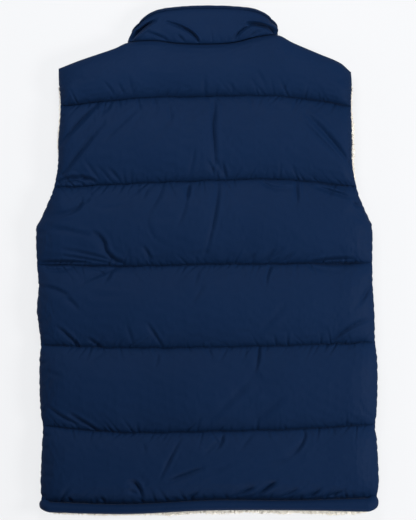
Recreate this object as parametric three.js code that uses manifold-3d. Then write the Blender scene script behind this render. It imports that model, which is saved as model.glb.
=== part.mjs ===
// A child's quilted vest, laid flat on its fronts with the back upwards.
// Millimetres, +Z up, +Y towards the collar, +X towards the wearer's right side.
// The two fronts rest on the surface, the back lies on them, and the collar and the hem band wrap round both sides.
import * as THREE from "three";
import Module from "manifold-3d";
import { mergeVertices } from "three/addons/utils/BufferGeometryUtils.js";

const wasm = await Module();
wasm.setup();

// Driving sizes
const SEAM_GAP = 0.4; // between pieces that are sewn to each other
const LAYER_GAP = 0.3; // between the back and the fronts where they lie on each other
const LAYER_HEIGHT = 15; // height of the plane where the back lies on the fronts
const BACK_VALLEY = 5.2; // wall at a quilting line of the back
const BACK_PUFF = 14; // what the wadding adds between two quilting lines
const FRONT_GROOVE = 3.2; // how far a quilting line of the fronts lies above the surface
const SIDE_EDGE = 2.2; // wall at the side seam
const ARMHOLE_EDGE = 5.2; // wall at the armhole
const SIDE_ROLL = 34; // width over which a side rounds down to its seam
const ARMHOLE_ROLL = 17; // the same at the armhole
const LEAST_WALL = 1.8;
const FRONT_OPENING = 5; // from the centre line to each front's edge
const FRONT_NECK = 530; // height of the front neck seam at the zip
const NECK_LEFT = -100; // where the shoulder meets the collar
const NECK_RIGHT = 88;
const TIP_LEFT = -186; // shoulder tips
const TIP_RIGHT = 178.4;
const NECK_CURVE = 2.4; // how round the front neck is
const ARMHOLE = { bottom: 370, bottomFade: 18, top: 542, topFade: 16 };
const PUFF_CURVE = { flat: 2.4, full: 0.55 }; // higher flat: a flatter crown, lower full: steeper at the quilting
const LINING_HALF = 2; // half the thickness of the fleece where it shows
const LINING_THIN = 0.5; // the same at its hidden edge
const LINING_DEPTH = 16; // how far it reaches in between the layers
const LINING_FADE = 26; // how far in the layers are held apart by it
const LINING_CLEARANCE = 0.3;

// Outline of the body, from the hem up
const SIDES = [
  { y: -5, left: -207, right: 211.5 },
  { y: 21, left: -207.8, right: 211.8 },
  { y: 34, left: -208.6, right: 213.9 },
  { y: 60, left: -207.8, right: 213.2 },
  { y: 90, left: -206.4, right: 211.4 },
  { y: 105, left: -205.4, right: 209.2 },
  { y: 122, left: -208.2, right: 211 },
  { y: 150, left: -209.8, right: 212.3 },
  { y: 190, left: -209.8, right: 212 },
  { y: 209, left: -208.2, right: 209.4 },
  { y: 250, left: -213.2, right: 208.4 },
  { y: 281, left: -211, right: 206.4 },
  { y: 309, left: -213, right: 205.8 },
  { y: 355, left: -213.8, right: 205.6 },
  { y: 366, left: -208, right: 201.4 },
  { y: 389, left: -197.8, right: 190.9 },
  { y: 405, left: -191.6, right: 185.8 },
  { y: 433, left: -186.8, right: 180.6 },
  { y: 464, left: -186.2, right: 180.2 },
  { y: 507, left: -183.2, right: 179 },
  { y: 535, left: -185.6, right: 180 },
  { y: 556, left: -186, right: 178.4 },
];

// Quilting lines of the back at five places from the left edge to the right edge, from the hem band's seam up
const QUILTING = [
  { leftEdge: 13, left: 10, middle: 15, right: 15, rightEdge: 18 },
  { leftEdge: 106, left: 98, middle: 99.4, right: 102, rightEdge: 108 },
  { leftEdge: 207.5, left: 203.8, middle: 204.4, right: 207, rightEdge: 211 },
  { leftEdge: 308, left: 306, middle: 308, right: 309, rightEdge: 310 },
  { leftEdge: 404, left: 409, middle: 412.5, right: 414, rightEdge: 405 },
  { leftEdge: 506, left: 515, middle: 518, right: 518, rightEdge: 506 },
];
const CHANNELS = QUILTING.length;

// Lower edge of the hem band at the same five places
const HEM_EDGE = { leftEdge: 1, left: -2.2, middle: 2.5, right: 2.5, rightEdge: 1.5 };

// Shoulders and back neck seam, from the left tip to the right tip
const TOP_EDGE = [
  { x: -186, y: 553.6 },
  { x: -159, y: 564.4 },
  { x: -116, y: 579 },
  { x: -100, y: 586.5 },
  { x: -68, y: 587.5 },
  { x: -38, y: 584 },
  { x: 0, y: 583 },
  { x: 33, y: 585 },
  { x: 62, y: 592 },
  { x: 88, y: 594.5 },
  { x: 106, y: 585.5 },
  { x: 139, y: 571.4 },
  { x: 166, y: 559.8 },
  { x: 178.4, y: 549 },
];

// The largest creases: from one end to the other, half width and depth
const FOLDS = [
  { x0: 10, y0: 512, x1: 8, y1: 411, width: 7, depth: 3.6 },
  { x0: 14, y0: 408, x1: -3, y1: 314, width: 8, depth: 3.2 },
  { x0: -184, y0: 452, x1: -141, y1: 509, width: 8, depth: 3.4 },
  { x0: -165, y0: 434, x1: -88, y1: 511, width: 9, depth: 2.6 },
  { x0: 124, y0: 494, x1: 174, y1: 438, width: 8, depth: 3.8 },
  { x0: 132, y0: 404, x1: 184, y1: 391, width: 7, depth: 2.8 },
  { x0: -140, y0: 352, x1: -107, y1: 311, width: 8, depth: 3.4 },
  { x0: -106, y0: 305, x1: -150, y1: 288, width: 8, depth: 2.4 },
  { x0: -197, y0: 131, x1: -140, y1: 101, width: 8, depth: 3 },
  { x0: -93, y0: 42, x1: -78, y1: 15, width: 8, depth: 3.6 },
  { x0: 152, y0: 211, x1: 204, y1: 238, width: 8, depth: 2.6 },
  { x0: 8, y0: 18, x1: 58, y1: 34, width: 9, depth: 2.8 },
  { x0: -91, y0: 595, x1: -70, y1: 614, width: 5, depth: 3.2 },
  { x0: -54, y0: 617, x1: -12, y1: 588, width: 6, depth: 2.6 },
  { x0: 50, y0: 609, x1: 83, y1: 600, width: 5, depth: 3 },
];

// The collar's band from one end at the zip (-2) round the back (0) to the other end (2)
const COLLAR = [
  { at: -2, seam: -5, rimX: -5, rimY: 574 },
  { at: -1.7, seam: -32, rimX: -31, rimY: 576 },
  { at: -1.35, seam: -70, rimX: -66, rimY: 582 },
  { at: -1.12, seam: -90, rimX: -86, rimY: 590 },
  { at: -1, seam: -94, rimX: -91, rimY: 597 },
  { at: -0.85, seam: -84, rimX: -81, rimY: 609 },
  { at: -0.6, seam: -62, rimX: -62, rimY: 621.5 },
  { at: -0.3, seam: -33, rimX: -34, rimY: 626.5 },
  { at: 0, seam: -4, rimX: -4, rimY: 628.2 },
  { at: 0.3, seam: 26, rimX: 27, rimY: 627.2 },
  { at: 0.6, seam: 53, rimX: 55, rimY: 623.5 },
  { at: 0.85, seam: 73, rimX: 74, rimY: 613.5 },
  { at: 1, seam: 82, rimX: 81.5, rimY: 602.5 },
  { at: 1.12, seam: 79, rimX: 76, rimY: 594 },
  { at: 1.35, seam: 61, rimX: 58, rimY: 584 },
  { at: 1.7, seam: 30, rimX: 29, rimY: 576 },
  { at: 2, seam: 5, rimX: 5, rimY: 574 },
];
const COLLAR_GAP = 0.8; // between the collar and the neck seam
const COLLAR_WALL = 5.6;
const COLLAR_LOOP = 3.3; // from the layer plane to the middle of the collar's wall
const COLLAR_PUFF = { back: 4.5, front: 5.5, curve: 0.6 };
const COLLAR_DROP = 3.5; // how far the rim sinks below the seam
const COLLAR_TURN = { from: 0.9, to: 1.1 }; // the stretch that turns from the back to the front
const PIPING_RADIUS = 1.9;

// The hem band's centre line, between the two ends at the zip
const BAND_HALF = 5.9; // half its thickness
const BAND_LOOP = 8.8; // from the layer plane to its centre line
const BAND_LEFT = -194.7; // where it starts to turn under
const BAND_RIGHT = 198.3;
const BAND_TURN = { from: 0.97, to: 1.03 };
const BAND_ROUNDNESS = 0.8; // 1 for an ellipse, less for fuller corners

// How far the fleece shows beyond the hem band and beyond each armhole, where it bulges between two heights
const HEM_LINING = { from: -186, to: 197, steps: 44, show: 3.9, wave: 0.8 };
const ARMHOLE_STRIP = { low: 398, high: 518, steps: 16 };
const ARMHOLE_LININGS = [
  { name: "lining_armhole_left", side: -1, show: 0.4, bulge: 1.6, from: 480, to: 525 },
  { name: "lining_armhole_right", side: 1, show: 0.6, bulge: 3, from: 405, to: 505 },
];

// Zip
const ZIP_BOTTOM = 4;
const ZIP_TOP = 568.5;
const TAPE = { low: 5, high: 6.2, edge: FRONT_OPENING - 0.35 };
const CHAIN = { low: 4.3, high: 6.9, edge: 1.9, middle: 0.15 };
const SLIDER = { bottom: 557, top: 571, width: 8, waist: 6, round: 3, plate: 1, gap: 0.3 };
const POST = { width: 2.4, length: 2 }; // joins the slider's two plates above the chain's end
const BRIDGE = { width: 1.3, reach: 3, foot: 0.9, low: 0.6, roof: 0.7, sink: 0.1 };
const PULL = { length: 27, width: 6, ring: 5, bar: 1, wall: 1.2 };
const PULL_AXIS = { y: SLIDER.bottom + 7, z: 2.2 };

const clamp = (value, low, high) => Math.min(high, Math.max(low, value));
const mix = (a, b, t) => a + (b - a) * t;
const ease = (t) => {
  const s = clamp(t, 0, 1);
  return s * s * (3 - 2 * s);
};
const roundOff = (distance, radius) => {
  const rest = 1 - clamp(distance / radius, 0, 1);
  return Math.sqrt(1 - rest * rest);
};

// The value of a table's column where its key column has the value at, on a smooth curve through the rows
function readTable(rows, key, column, at) {
  let k = 0;
  while (k < rows.length - 2 && at > rows[k + 1][key]) k++;
  const [a, b] = [rows[k], rows[k + 1]];
  const slope = (p, q) => (q[column] - p[column]) / (q[key] - p[key]);
  const span = b[key] - a[key];
  const t = clamp((at - a[key]) / span, 0, 1);
  const start = slope(rows[Math.max(k - 1, 0)], b) * span;
  const end = slope(a, rows[Math.min(k + 2, rows.length - 1)]) * span;
  return new THREE.Vector4(a[column], start, b[column], end).dot(
    new THREE.Vector4((1 + 2 * t) * (1 - t) ** 2, t * (1 - t) ** 2, t * t * (3 - 2 * t), t * t * (t - 1)),
  );
}

const PLACES = ["leftEdge", "left", "middle", "right", "rightEdge"];
function readLine(line, across) {
  const rows = PLACES.map((place, i) => ({ across: i / (PLACES.length - 1), y: line[place] }));
  return readTable(rows, "across", "y", clamp(across, 0, 1));
}

const backTop = (x) => readTable(TOP_EDGE, "x", "y", x);

// The front's upper edge: the back's shoulders with a deeper neck
function frontTop(x) {
  if (x <= NECK_LEFT || x >= NECK_RIGHT) return backTop(x);
  const neck = x < 0 ? NECK_LEFT : NECK_RIGHT;
  return mix(FRONT_NECK, backTop(neck), Math.abs(x / neck) ** NECK_CURVE);
}

// Height of a place on a panel. along counts channels from the hem band's seam, across runs from edge to edge.
function panelHeight(along, across, x, top) {
  const channel = Math.min(Math.floor(along), CHANNELS - 1);
  const low = readLine(QUILTING[channel], across);
  const high = channel + 1 < CHANNELS ? readLine(QUILTING[channel + 1], across) : top(x);
  return mix(low, high, along - channel);
}

const sideAt = (side, y) => readTable(SIDES, "y", side < 0 ? "left" : "right", y);

// Both ends of a row of a panel
function rowEnds(along, top) {
  const left = sideAt(-1, panelHeight(along, 0, TIP_LEFT, top));
  const right = sideAt(1, panelHeight(along, 1, TIP_RIGHT, top));
  return { left, right };
}

function panelPlace(along, x, ends, top) {
  const across = (x - ends.left) / (ends.right - ends.left);
  return { x, y: panelHeight(along, across, x, top), across };
}

// How puffed a channel is: 0 on its quilting lines and 1 in the middle
function puff(along) {
  const t = along - Math.min(Math.floor(along), CHANNELS - 1);
  return (1 - Math.abs(2 * t - 1) ** PUFF_CURVE.flat) ** PUFF_CURVE.full;
}

// How deep the creases are at a place. Each fades out towards its two ends.
function foldDepth(x, y) {
  let depth = 0;
  for (const fold of FOLDS) {
    const run = new THREE.Vector2(fold.x1 - fold.x0, fold.y1 - fold.y0);
    const place = new THREE.Vector2(x - fold.x0, y - fold.y0);
    const share = clamp(place.dot(run) / run.lengthSq(), 0, 1);
    const away = place.addScaledVector(run, -share).length() / fold.width;
    const fade = Math.sin(Math.PI * mix(0.12, 0.88, share));
    depth += fold.depth * fade * Math.exp(-away * away);
  }
  return depth;
}

// 1 along an armhole and 0 along a side seam and a shoulder
function armholeShare(y) {
  return ease((y - ARMHOLE.bottom) / ARMHOLE.bottomFade) * ease((ARMHOLE.top - y) / ARMHOLE.topFade);
}

// What a place on a panel needs to know. room is half the gap between the layers, which holds the fleece.
function panelFacts(place, ends, along) {
  const side = Math.min(place.x - ends.left, ends.right - place.x);
  const hem = place.y - readLine(QUILTING[0], place.across);
  const arm = armholeShare(place.y);
  const lined = Math.max(1 - ease(hem / LINING_FADE), arm * (1 - ease(side / LINING_FADE)));
  return {
    room: LAYER_GAP / 2 + (LINING_HALF + LINING_CLEARANCE) * lined,
    roll: roundOff(side, mix(SIDE_ROLL, ARMHOLE_ROLL, arm)),
    edge: mix(SIDE_EDGE, ARMHOLE_EDGE, arm),
    puff: puff(along),
  };
}

// A closed wall between an outer grid of points and an inner one.
// Inside its border the inner grid has only the columns and rows that are listed for it.
function wallGeometry(columns, rows, outer, inner, innerColumns, innerRows) {
  const points = [];
  const faces = [];
  const put = (v) => points.push(v.x, v.y, v.z) / 3 - 1;
  const outerIds = rows.map((row) => columns.map((column) => put(outer(column, row))));
  const known = new Map();
  const innerId = (i, j) => {
    const key = i + "," + j;
    const between = (list, at) => mix(list[Math.floor(at)], list[Math.ceil(at)], at % 1);
    if (!known.has(key)) known.set(key, put(inner(between(columns, i), between(rows, j))));
    return known.get(key);
  };
  const [lastColumn, lastRow] = [columns.length - 1, rows.length - 1];
  for (let j = 0; j < lastRow; j++)
    for (let i = 0; i < lastColumn; i++) {
      const [a, b] = [outerIds[j][i], outerIds[j][i + 1]];
      const [c, d] = [outerIds[j + 1][i + 1], outerIds[j + 1][i]];
      faces.push(a, b, c, a, c, d);
    }
  const steps = (from, to, fine) => {
    const list = [];
    const way = Math.sign(to - from);
    for (let k = from; k !== to; k += way) if (fine || k === from) list.push(k);
    return list;
  };
  for (let q = 0; q + 1 < innerRows.length; q++)
    for (let p = 0; p + 1 < innerColumns.length; p++) {
      const [i0, i1, j0, j1] = [innerColumns[p], innerColumns[p + 1], innerRows[q], innerRows[q + 1]];
      const ring = [
        ...steps(i0, i1, j0 === 0).map((i) => innerId(i, j0)),
        ...steps(j0, j1, i1 === lastColumn).map((j) => innerId(i1, j)),
        ...steps(i1, i0, j1 === lastRow).map((i) => innerId(i, j1)),
        ...steps(j1, j0, i0 === 0).map((j) => innerId(i0, j)),
      ];
      if (ring.length === 4) {
        faces.push(ring[0], ring[2], ring[1], ring[0], ring[3], ring[2]);
        continue;
      }
      const middle = innerId((i0 + i1) / 2, (j0 + j1) / 2);
      ring.forEach((id, k) => faces.push(middle, ring[(k + 1) % ring.length], id));
    }
  const border = [
    ...steps(0, lastColumn, true).map((i) => [i, 0]),
    ...steps(0, lastRow, true).map((j) => [lastColumn, j]),
    ...steps(lastColumn, 0, true).map((i) => [i, lastRow]),
    ...steps(lastRow, 0, true).map((j) => [0, j]),
  ];
  border.forEach(([i, j], k) => {
    const [m, n] = border[(k + 1) % border.length];
    const [a, b, c, d] = [outerIds[j][i], outerIds[n][m], innerId(m, n), innerId(i, j)];
    faces.push(a, d, b, b, d, c);
  });
  return facingOut(points, faces);
}

// A closed tube through rings of points
function tubeGeometry(rings) {
  const sides = rings[0].length;
  const points = rings.flat().flatMap((v) => [v.x, v.y, v.z]);
  const faces = [];
  for (let r = 0; r + 1 < rings.length; r++)
    for (let k = 0; k < sides; k++) {
      const [a, b] = [r * sides + k, r * sides + ((k + 1) % sides)];
      faces.push(a, b, b + sides, a, b + sides, a + sides);
    }
  const end = (rings.length - 1) * sides;
  for (let k = 1; k + 1 < sides; k++) faces.push(0, k + 1, k, end, end + k, end + k + 1);
  return facingOut(points, faces);
}

// Turns every face round if the surface encloses a negative volume
function facingOut(points, faces) {
  const corner = (id) => new THREE.Vector3().fromArray(points, 3 * id);
  let volume = 0;
  for (let f = 0; f < faces.length; f += 3) {
    const [a, b, c] = [0, 1, 2].map((k) => corner(faces[f + k]));
    volume += a.dot(b.cross(c));
  }
  if (volume < 0)
    for (let f = 0; f < faces.length; f += 3) [faces[f + 1], faces[f + 2]] = [faces[f + 2], faces[f + 1]];
  return new THREE.BufferGeometry()
    .setAttribute("position", new THREE.Float32BufferAttribute(points, 3))
    .setIndex(faces);
}

// Every so many numbers from first to last, both included
function everyFrom(first, last, step) {
  const list = [];
  for (let at = first; at < last; at += step) list.push(at);
  return [...list, last];
}

// Rows of a panel: where they lie within each channel
function rowsOf(withinChannel) {
  const rows = [];
  for (let channel = 0; channel < CHANNELS; channel++) withinChannel.forEach((t) => rows.push(channel + t));
  return [...rows, CHANNELS];
}

// The back's columns: offsets from its left edge, even steps between the two edge strips, offsets from its right edge
const EDGE_OFFSETS = [0, 1.2, 4, 9, 17, 28];
const BACK_COLUMNS = 42; // between the edge strips
const BACK_ROWS = rowsOf([0, 0.03, 0.11, 0.27, 0.5, 0.73, 0.89, 0.97]);
function columnX(column, ends) {
  const strip = EDGE_OFFSETS.length - 1;
  const last = 2 * strip + BACK_COLUMNS;
  const offset = (at) => mix(EDGE_OFFSETS[Math.floor(at)], EDGE_OFFSETS[Math.ceil(at)], at % 1);
  if (column <= strip) return ends.left + offset(column);
  if (column >= last - strip) return ends.right - offset(last - column);
  const inset = EDGE_OFFSETS[strip];
  return mix(ends.left + inset, ends.right - inset, (column - strip) / BACK_COLUMNS);
}

function backGeometry() {
  const place = (column, along) => {
    const ends = rowEnds(along, backTop);
    const at = panelPlace(along, columnX(column, ends), ends, backTop);
    const lift = along === 0 ? SEAM_GAP : 0;
    return { ...at, y: at.y + lift, ...panelFacts(at, ends, along) };
  };
  const outer = (column, along) => {
    const p = place(column, along);
    const full = BACK_VALLEY + BACK_PUFF * p.puff - foldDepth(p.x, p.y) * p.roll;
    const wall = mix(p.edge, Math.max(full, p.room + LEAST_WALL), p.roll);
    return new THREE.Vector3(p.x, p.y, LAYER_HEIGHT + Math.max(wall, p.room + LEAST_WALL));
  };
  const inner = (column, along) => {
    const p = place(column, along);
    return new THREE.Vector3(p.x, p.y, LAYER_HEIGHT + p.room);
  };
  const strip = EDGE_OFFSETS.length - 1;
  const last = 2 * strip + BACK_COLUMNS;
  const innerColumns = [0, 2, 3, 4, ...everyFrom(strip, last - strip, 6), last - 4, last - 3, last - 2, last];
  const innerRows = everyFrom(0, BACK_ROWS.length - 1, 2);
  return wallGeometry(everyFrom(0, last, 1), BACK_ROWS, outer, inner, innerColumns, innerRows);
}

// A front lies under one half of the back, from its side seam to the zip, with its quilting lines as grooves below
const FRONT_ROWS = rowsOf([0, 0.05, 0.15, 0.5, 0.85, 0.95]);
const FRONT_SIDE_OFFSETS = [0, 2, 7, 15, 28];
const FRONT_ZIP_OFFSETS = [6, 1.6, 0];
const FRONT_COLUMNS = 12;
const FRONT_RESTS = 0.7; // share of the puff from which a channel rests flat on the surface
const ZIP_EDGE = { height: 4.2, width: 6 }; // how a front's edge rises from the surface beside the zip
function frontGeometry(side) {
  const [strip, zipStrip] = [FRONT_SIDE_OFFSETS.length - 1, FRONT_ZIP_OFFSETS.length - 1];
  const last = strip + FRONT_COLUMNS + zipStrip;
  const fromList = (list, at) => mix(list[Math.floor(at)], list[Math.ceil(at)], at % 1);
  const place = (column, along) => {
    const ends = rowEnds(along, frontTop);
    const [outside, zip] = [side < 0 ? ends.left : ends.right, side * FRONT_OPENING];
    const inset = outside - side * FRONT_SIDE_OFFSETS[strip];
    const beside = zip + side * FRONT_ZIP_OFFSETS[0];
    const past = column - strip - FRONT_COLUMNS;
    let x = mix(inset, beside, (column - strip) / FRONT_COLUMNS);
    if (column < strip) x = outside - side * fromList(FRONT_SIDE_OFFSETS, column);
    if (past > 0) x = zip + side * fromList(FRONT_ZIP_OFFSETS, past);
    const at = panelPlace(along, x, ends, frontTop);
    const lift = along === 0 ? SEAM_GAP : 0;
    return { ...at, y: at.y + lift, ...panelFacts(at, ends, along), zip: Math.abs(x - zip) };
  };
  const outer = (column, along) => {
    const p = place(column, along);
    const groove = FRONT_GROOVE * (1 - p.puff / FRONT_RESTS);
    const rise = ZIP_EDGE.height * (1 - roundOff(p.zip, ZIP_EDGE.width));
    const low = mix(LAYER_HEIGHT - p.edge, Math.max(groove, rise, 0), p.roll);
    return new THREE.Vector3(p.x, p.y, Math.min(low, LAYER_HEIGHT - p.room - LEAST_WALL));
  };
  const inner = (column, along) => {
    const p = place(column, along);
    return new THREE.Vector3(p.x, p.y, LAYER_HEIGHT - p.room);
  };
  const innerColumns = [0, 1, 2, 3, ...everyFrom(strip, strip + FRONT_COLUMNS, 3), last];
  const innerRows = everyFrom(0, FRONT_ROWS.length - 1, 3);
  return wallGeometry(everyFrom(0, last, 1), FRONT_ROWS, outer, inner, innerColumns, innerRows);
}

// Direction that a wrapped band faces: up along the back, outwards where it turns and down along the fronts
function facing(at, turn) {
  const angle = Math.PI * clamp((Math.abs(at) - turn.from) / (turn.to - turn.from), 0, 1);
  return new THREE.Vector3(Math.sign(at) * Math.sin(angle), 0, Math.cos(angle));
}

// Stations along a wrapped band, closer together where it turns
function stationsOf(turn, front, turning, back) {
  const half = [];
  for (let k = 0; k < back; k++) half.push(mix(0, turn.from, k / back));
  for (let k = 0; k < turning; k++) half.push(mix(turn.from, turn.to, k / turning));
  for (let k = 0; k <= front; k++) half.push(mix(turn.to, 2, k / front));
  return [...half.slice(1).map((at) => -at).reverse(), ...half];
}

// A place on the collar: at runs round the neck, up from the seam (0) to the rim (1), out from the wall's middle
function collarPoint(at, up, out) {
  const face = facing(at, COLLAR_TURN);
  const read = (column) => readTable(COLLAR, "at", column, at);
  const seamX = read("seam") + face.x * (COLLAR_LOOP + out);
  const seamY = mix(backTop(seamX), frontTop(seamX), ease(-2 * face.z)) + COLLAR_GAP;
  const rimX = read("rimX") + face.x * (COLLAR_LOOP + out);
  const z = LAYER_HEIGHT - COLLAR_DROP * up + face.z * (COLLAR_LOOP + out);
  return new THREE.Vector3(mix(seamX, rimX, up), mix(seamY, read("rimY"), up), z);
}

const COLLAR_STATIONS = stationsOf(COLLAR_TURN, 12, 8, 16);
const COLLAR_RISE = [0, 0.06, 0.2, 0.42, 0.66, 0.86, 1];
function collarGeometry() {
  const swell = (at, up) => {
    const face = facing(at, COLLAR_TURN);
    const place = collarPoint(at, up, COLLAR_WALL / 2);
    const full = (face.z > 0 ? COLLAR_PUFF.back : COLLAR_PUFF.front) * face.z ** 2;
    const creased = foldDepth(place.x, place.y) * Math.max(face.z, 0);
    return (full - creased) * Math.sin(Math.PI * up) ** COLLAR_PUFF.curve;
  };
  const outer = (at, up) => collarPoint(at, up, COLLAR_WALL / 2 + swell(at, up));
  const inner = (at, up) => collarPoint(at, up, -COLLAR_WALL / 2);
  const innerColumns = everyFrom(0, COLLAR_STATIONS.length - 1, 1);
  return wallGeometry(COLLAR_STATIONS, COLLAR_RISE, outer, inner, innerColumns, [0, 3, COLLAR_RISE.length - 1]);
}

// A thin roll along the collar's rim
function pipingGeometry() {
  const sides = 6;
  const rings = stationsOf(COLLAR_TURN, 10, 7, 16).map((at) => {
    const face = facing(at, COLLAR_TURN);
    const rim = collarPoint(at, 1, 0);
    const rise = rim.clone().sub(collarPoint(at, 0, 0)).setZ(0).normalize();
    const centre = rim.addScaledVector(rise, PIPING_RADIUS + COLLAR_GAP);
    return Array.from({ length: sides }, (_, k) => {
      const angle = (2 * Math.PI * k) / sides;
      return centre
        .clone()
        .addScaledVector(rise, PIPING_RADIUS * Math.cos(angle))
        .addScaledVector(face, PIPING_RADIUS * Math.sin(angle));
    });
  });
  return tubeGeometry(rings);
}

// Seam and lower edge of the hem band at a place across the vest
function hemAt(x) {
  const [left, right] = [sideAt(-1, QUILTING[0].leftEdge), sideAt(1, QUILTING[0].rightEdge)];
  const across = (x - left) / (right - left);
  return { high: readLine(QUILTING[0], across), low: readLine(HEM_EDGE, across) };
}

// The narrow channel along the hem, wrapped round both sides
function hemBandGeometry() {
  const sides = 10;
  const fuller = (v) => Math.sign(v) * Math.abs(v) ** BAND_ROUNDNESS;
  const rings = stationsOf(BAND_TURN, 12, 8, 18).map((at) => {
    const face = facing(at, BAND_TURN);
    const end = at < 0 ? BAND_LEFT : BAND_RIGHT;
    const zip = Math.sign(at) * FRONT_OPENING;
    const onBack = clamp(at / BAND_TURN.from, -1, 1);
    const toZip = clamp((Math.abs(at) - BAND_TURN.to) / (2 - BAND_TURN.to), 0, 1);
    const middle = (BAND_LEFT + BAND_RIGHT) / 2;
    const x = mix(mix(middle, end, Math.abs(onBack)), zip, toZip);
    const { high, low } = hemAt(x);
    const centre = new THREE.Vector3(x, (high + low) / 2, LAYER_HEIGHT).addScaledVector(face, BAND_LOOP);
    return Array.from({ length: sides }, (_, k) => {
      const angle = (2 * Math.PI * (k + 0.5)) / sides;
      const [up, out] = [Math.cos(angle), Math.sin(angle)];
      return centre
        .clone()
        .addScaledVector(face, BAND_HALF * fuller(out))
        .add(new THREE.Vector3(0, ((high - low) / 2) * fuller(up), 0));
    });
  });
  return tubeGeometry(rings);
}

// Half the fleece's thickness: thinner further in between the layers, rounded off towards its outer edge
function liningHalf(inward, outward) {
  const thin = mix(LINING_HALF, LINING_THIN, ease(inward / LINING_DEPTH));
  return thin * Math.sqrt(Math.max(1 - outward ** 4, 0.02));
}

// Steps across a strip of fleece: 1 is its hidden edge, 0 the edge of the cloth and -1 the outer edge
const LINING_STEPS = [1, 0.6, 0, -0.45, -0.85, -1];
function liningGeometry(stations, steps, surface) {
  const all = (list) => everyFrom(0, list.length - 1, 1);
  return wallGeometry(stations, steps, surface(1), surface(-1), all(stations), all(steps));
}

// The strip of fleece that shows below the hem band
function hemLiningGeometry() {
  const { from, to, show, wave, steps } = HEM_LINING;
  const stations = Array.from({ length: steps + 1 }, (_, i) => mix(from, to, i / steps));
  const surface = (way) => (x, step) => {
    const { high, low } = hemAt(x);
    const uneven = show + wave * (Math.sin(x / 11) + 0.6 * Math.sin(x / 4.7));
    const shown = mix(1, uneven, ease(Math.min(x - from, to - x) / 16));
    const y = step < 0 ? low + shown * step : mix(low, high + LINING_DEPTH, step);
    const half = liningHalf(y - high, Math.max(-step, 0));
    return new THREE.Vector3(x, y, LAYER_HEIGHT + way * half);
  };
  return liningGeometry(stations, [...LINING_STEPS].reverse(), surface);
}

// The strip of fleece inside an armhole
function armholeLiningGeometry({ side, show, bulge, from, to }) {
  const { low, high, steps } = ARMHOLE_STRIP;
  const stations = Array.from({ length: steps + 1 }, (_, i) => mix(low, high, i / steps));
  const surface = (way) => (y, step) => {
    const swell = ease((y - from) / 25) * ease((to - y) / 25);
    const shown = show + bulge * swell * (0.75 + 0.25 * Math.sin(y / 5));
    const x = sideAt(side, y) - side * step * (step < 0 ? shown : LINING_DEPTH);
    const half = liningHalf(step * LINING_DEPTH, Math.max(-step, 0));
    return new THREE.Vector3(x, y, LAYER_HEIGHT + way * half * armholeShare(y));
  };
  return liningGeometry(stations, LINING_STEPS, surface);
}

// One side of the zip: a tape with half the chain along its edge
function zipGeometry(side) {
  const profile = [
    [TAPE.edge, TAPE.low],
    [CHAIN.edge, TAPE.low],
    [CHAIN.edge, CHAIN.low],
    [CHAIN.middle, CHAIN.low],
    [CHAIN.middle, CHAIN.high],
    [CHAIN.edge, CHAIN.high],
    [CHAIN.edge, TAPE.high],
    [TAPE.edge, TAPE.high],
  ].map(([x, z]) => new THREE.Vector2(side * x, z));
  const length = ZIP_TOP - ZIP_BOTTOM;
  const geometry = new THREE.ExtrudeGeometry(new THREE.Shape(profile), { depth: length, bevelEnabled: false });
  return geometry.rotateX(Math.PI / 2).translate(0, ZIP_TOP, 0);
}

// A closed three.js geometry as a solid that can be joined and cut
function solidOf(geometry) {
  const bare = geometry.clone();
  bare.deleteAttribute("normal");
  bare.deleteAttribute("uv");
  const merged = mergeVertices(bare, 1e-4);
  return new wasm.Manifold(
    new wasm.Mesh({
      numProp: 3,
      vertProperties: merged.attributes.position.array,
      triVerts: new Uint32Array(merged.index.array),
    }),
  );
}

function geometryOf(solid) {
  const { vertProperties, triVerts } = solid.getMesh();
  return new THREE.BufferGeometry()
    .setAttribute("position", new THREE.Float32BufferAttribute(vertProperties, 3))
    .setIndex([...triVerts]);
}

function block(width, length, height, x, y, z) {
  return solidOf(new THREE.BoxGeometry(width, length, height).translate(x, y, z));
}

function plateOutline() {
  const { bottom, top, width, waist, round } = SLIDER;
  return new THREE.Shape()
    .moveTo(-waist / 2, bottom)
    .lineTo(waist / 2, bottom)
    .lineTo(width / 2, top - round)
    .quadraticCurveTo(width / 2, top, POST.width / 2, top)
    .lineTo(-POST.width / 2, top)
    .quadraticCurveTo(-width / 2, top, -width / 2, top - round);
}

// The slider: two plates round the chain, joined by a post above its end, with a bridge for the pull tab
function sliderGeometry() {
  const { top, plate, gap } = SLIDER;
  const plateAt = (z) => {
    const sheet = new THREE.ExtrudeGeometry(plateOutline(), { depth: plate, bevelEnabled: false, curveSegments: 4 });
    return solidOf(sheet.translate(0, 0, z));
  };
  const [outside, inside] = [CHAIN.low - gap - plate, CHAIN.high + gap];
  const height = inside + plate - outside;
  const post = block(POST.width, POST.length, height, 0, top - POST.length / 2, outside + height / 2);
  const footHeight = outside + BRIDGE.sink - BRIDGE.low;
  const foot = (way) => {
    const y = PULL_AXIS.y + way * (BRIDGE.reach - BRIDGE.foot / 2);
    return block(BRIDGE.width, BRIDGE.foot, footHeight, 0, y, BRIDGE.low + footHeight / 2);
  };
  const roof = block(BRIDGE.width, 2 * BRIDGE.reach, BRIDGE.roof, 0, PULL_AXIS.y, BRIDGE.low + BRIDGE.roof / 2);
  const pieces = [plateAt(inside), post, foot(-1), foot(1), roof];
  return geometryOf(pieces.reduce((whole, piece) => whole.add(piece), plateAt(outside)));
}

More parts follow.
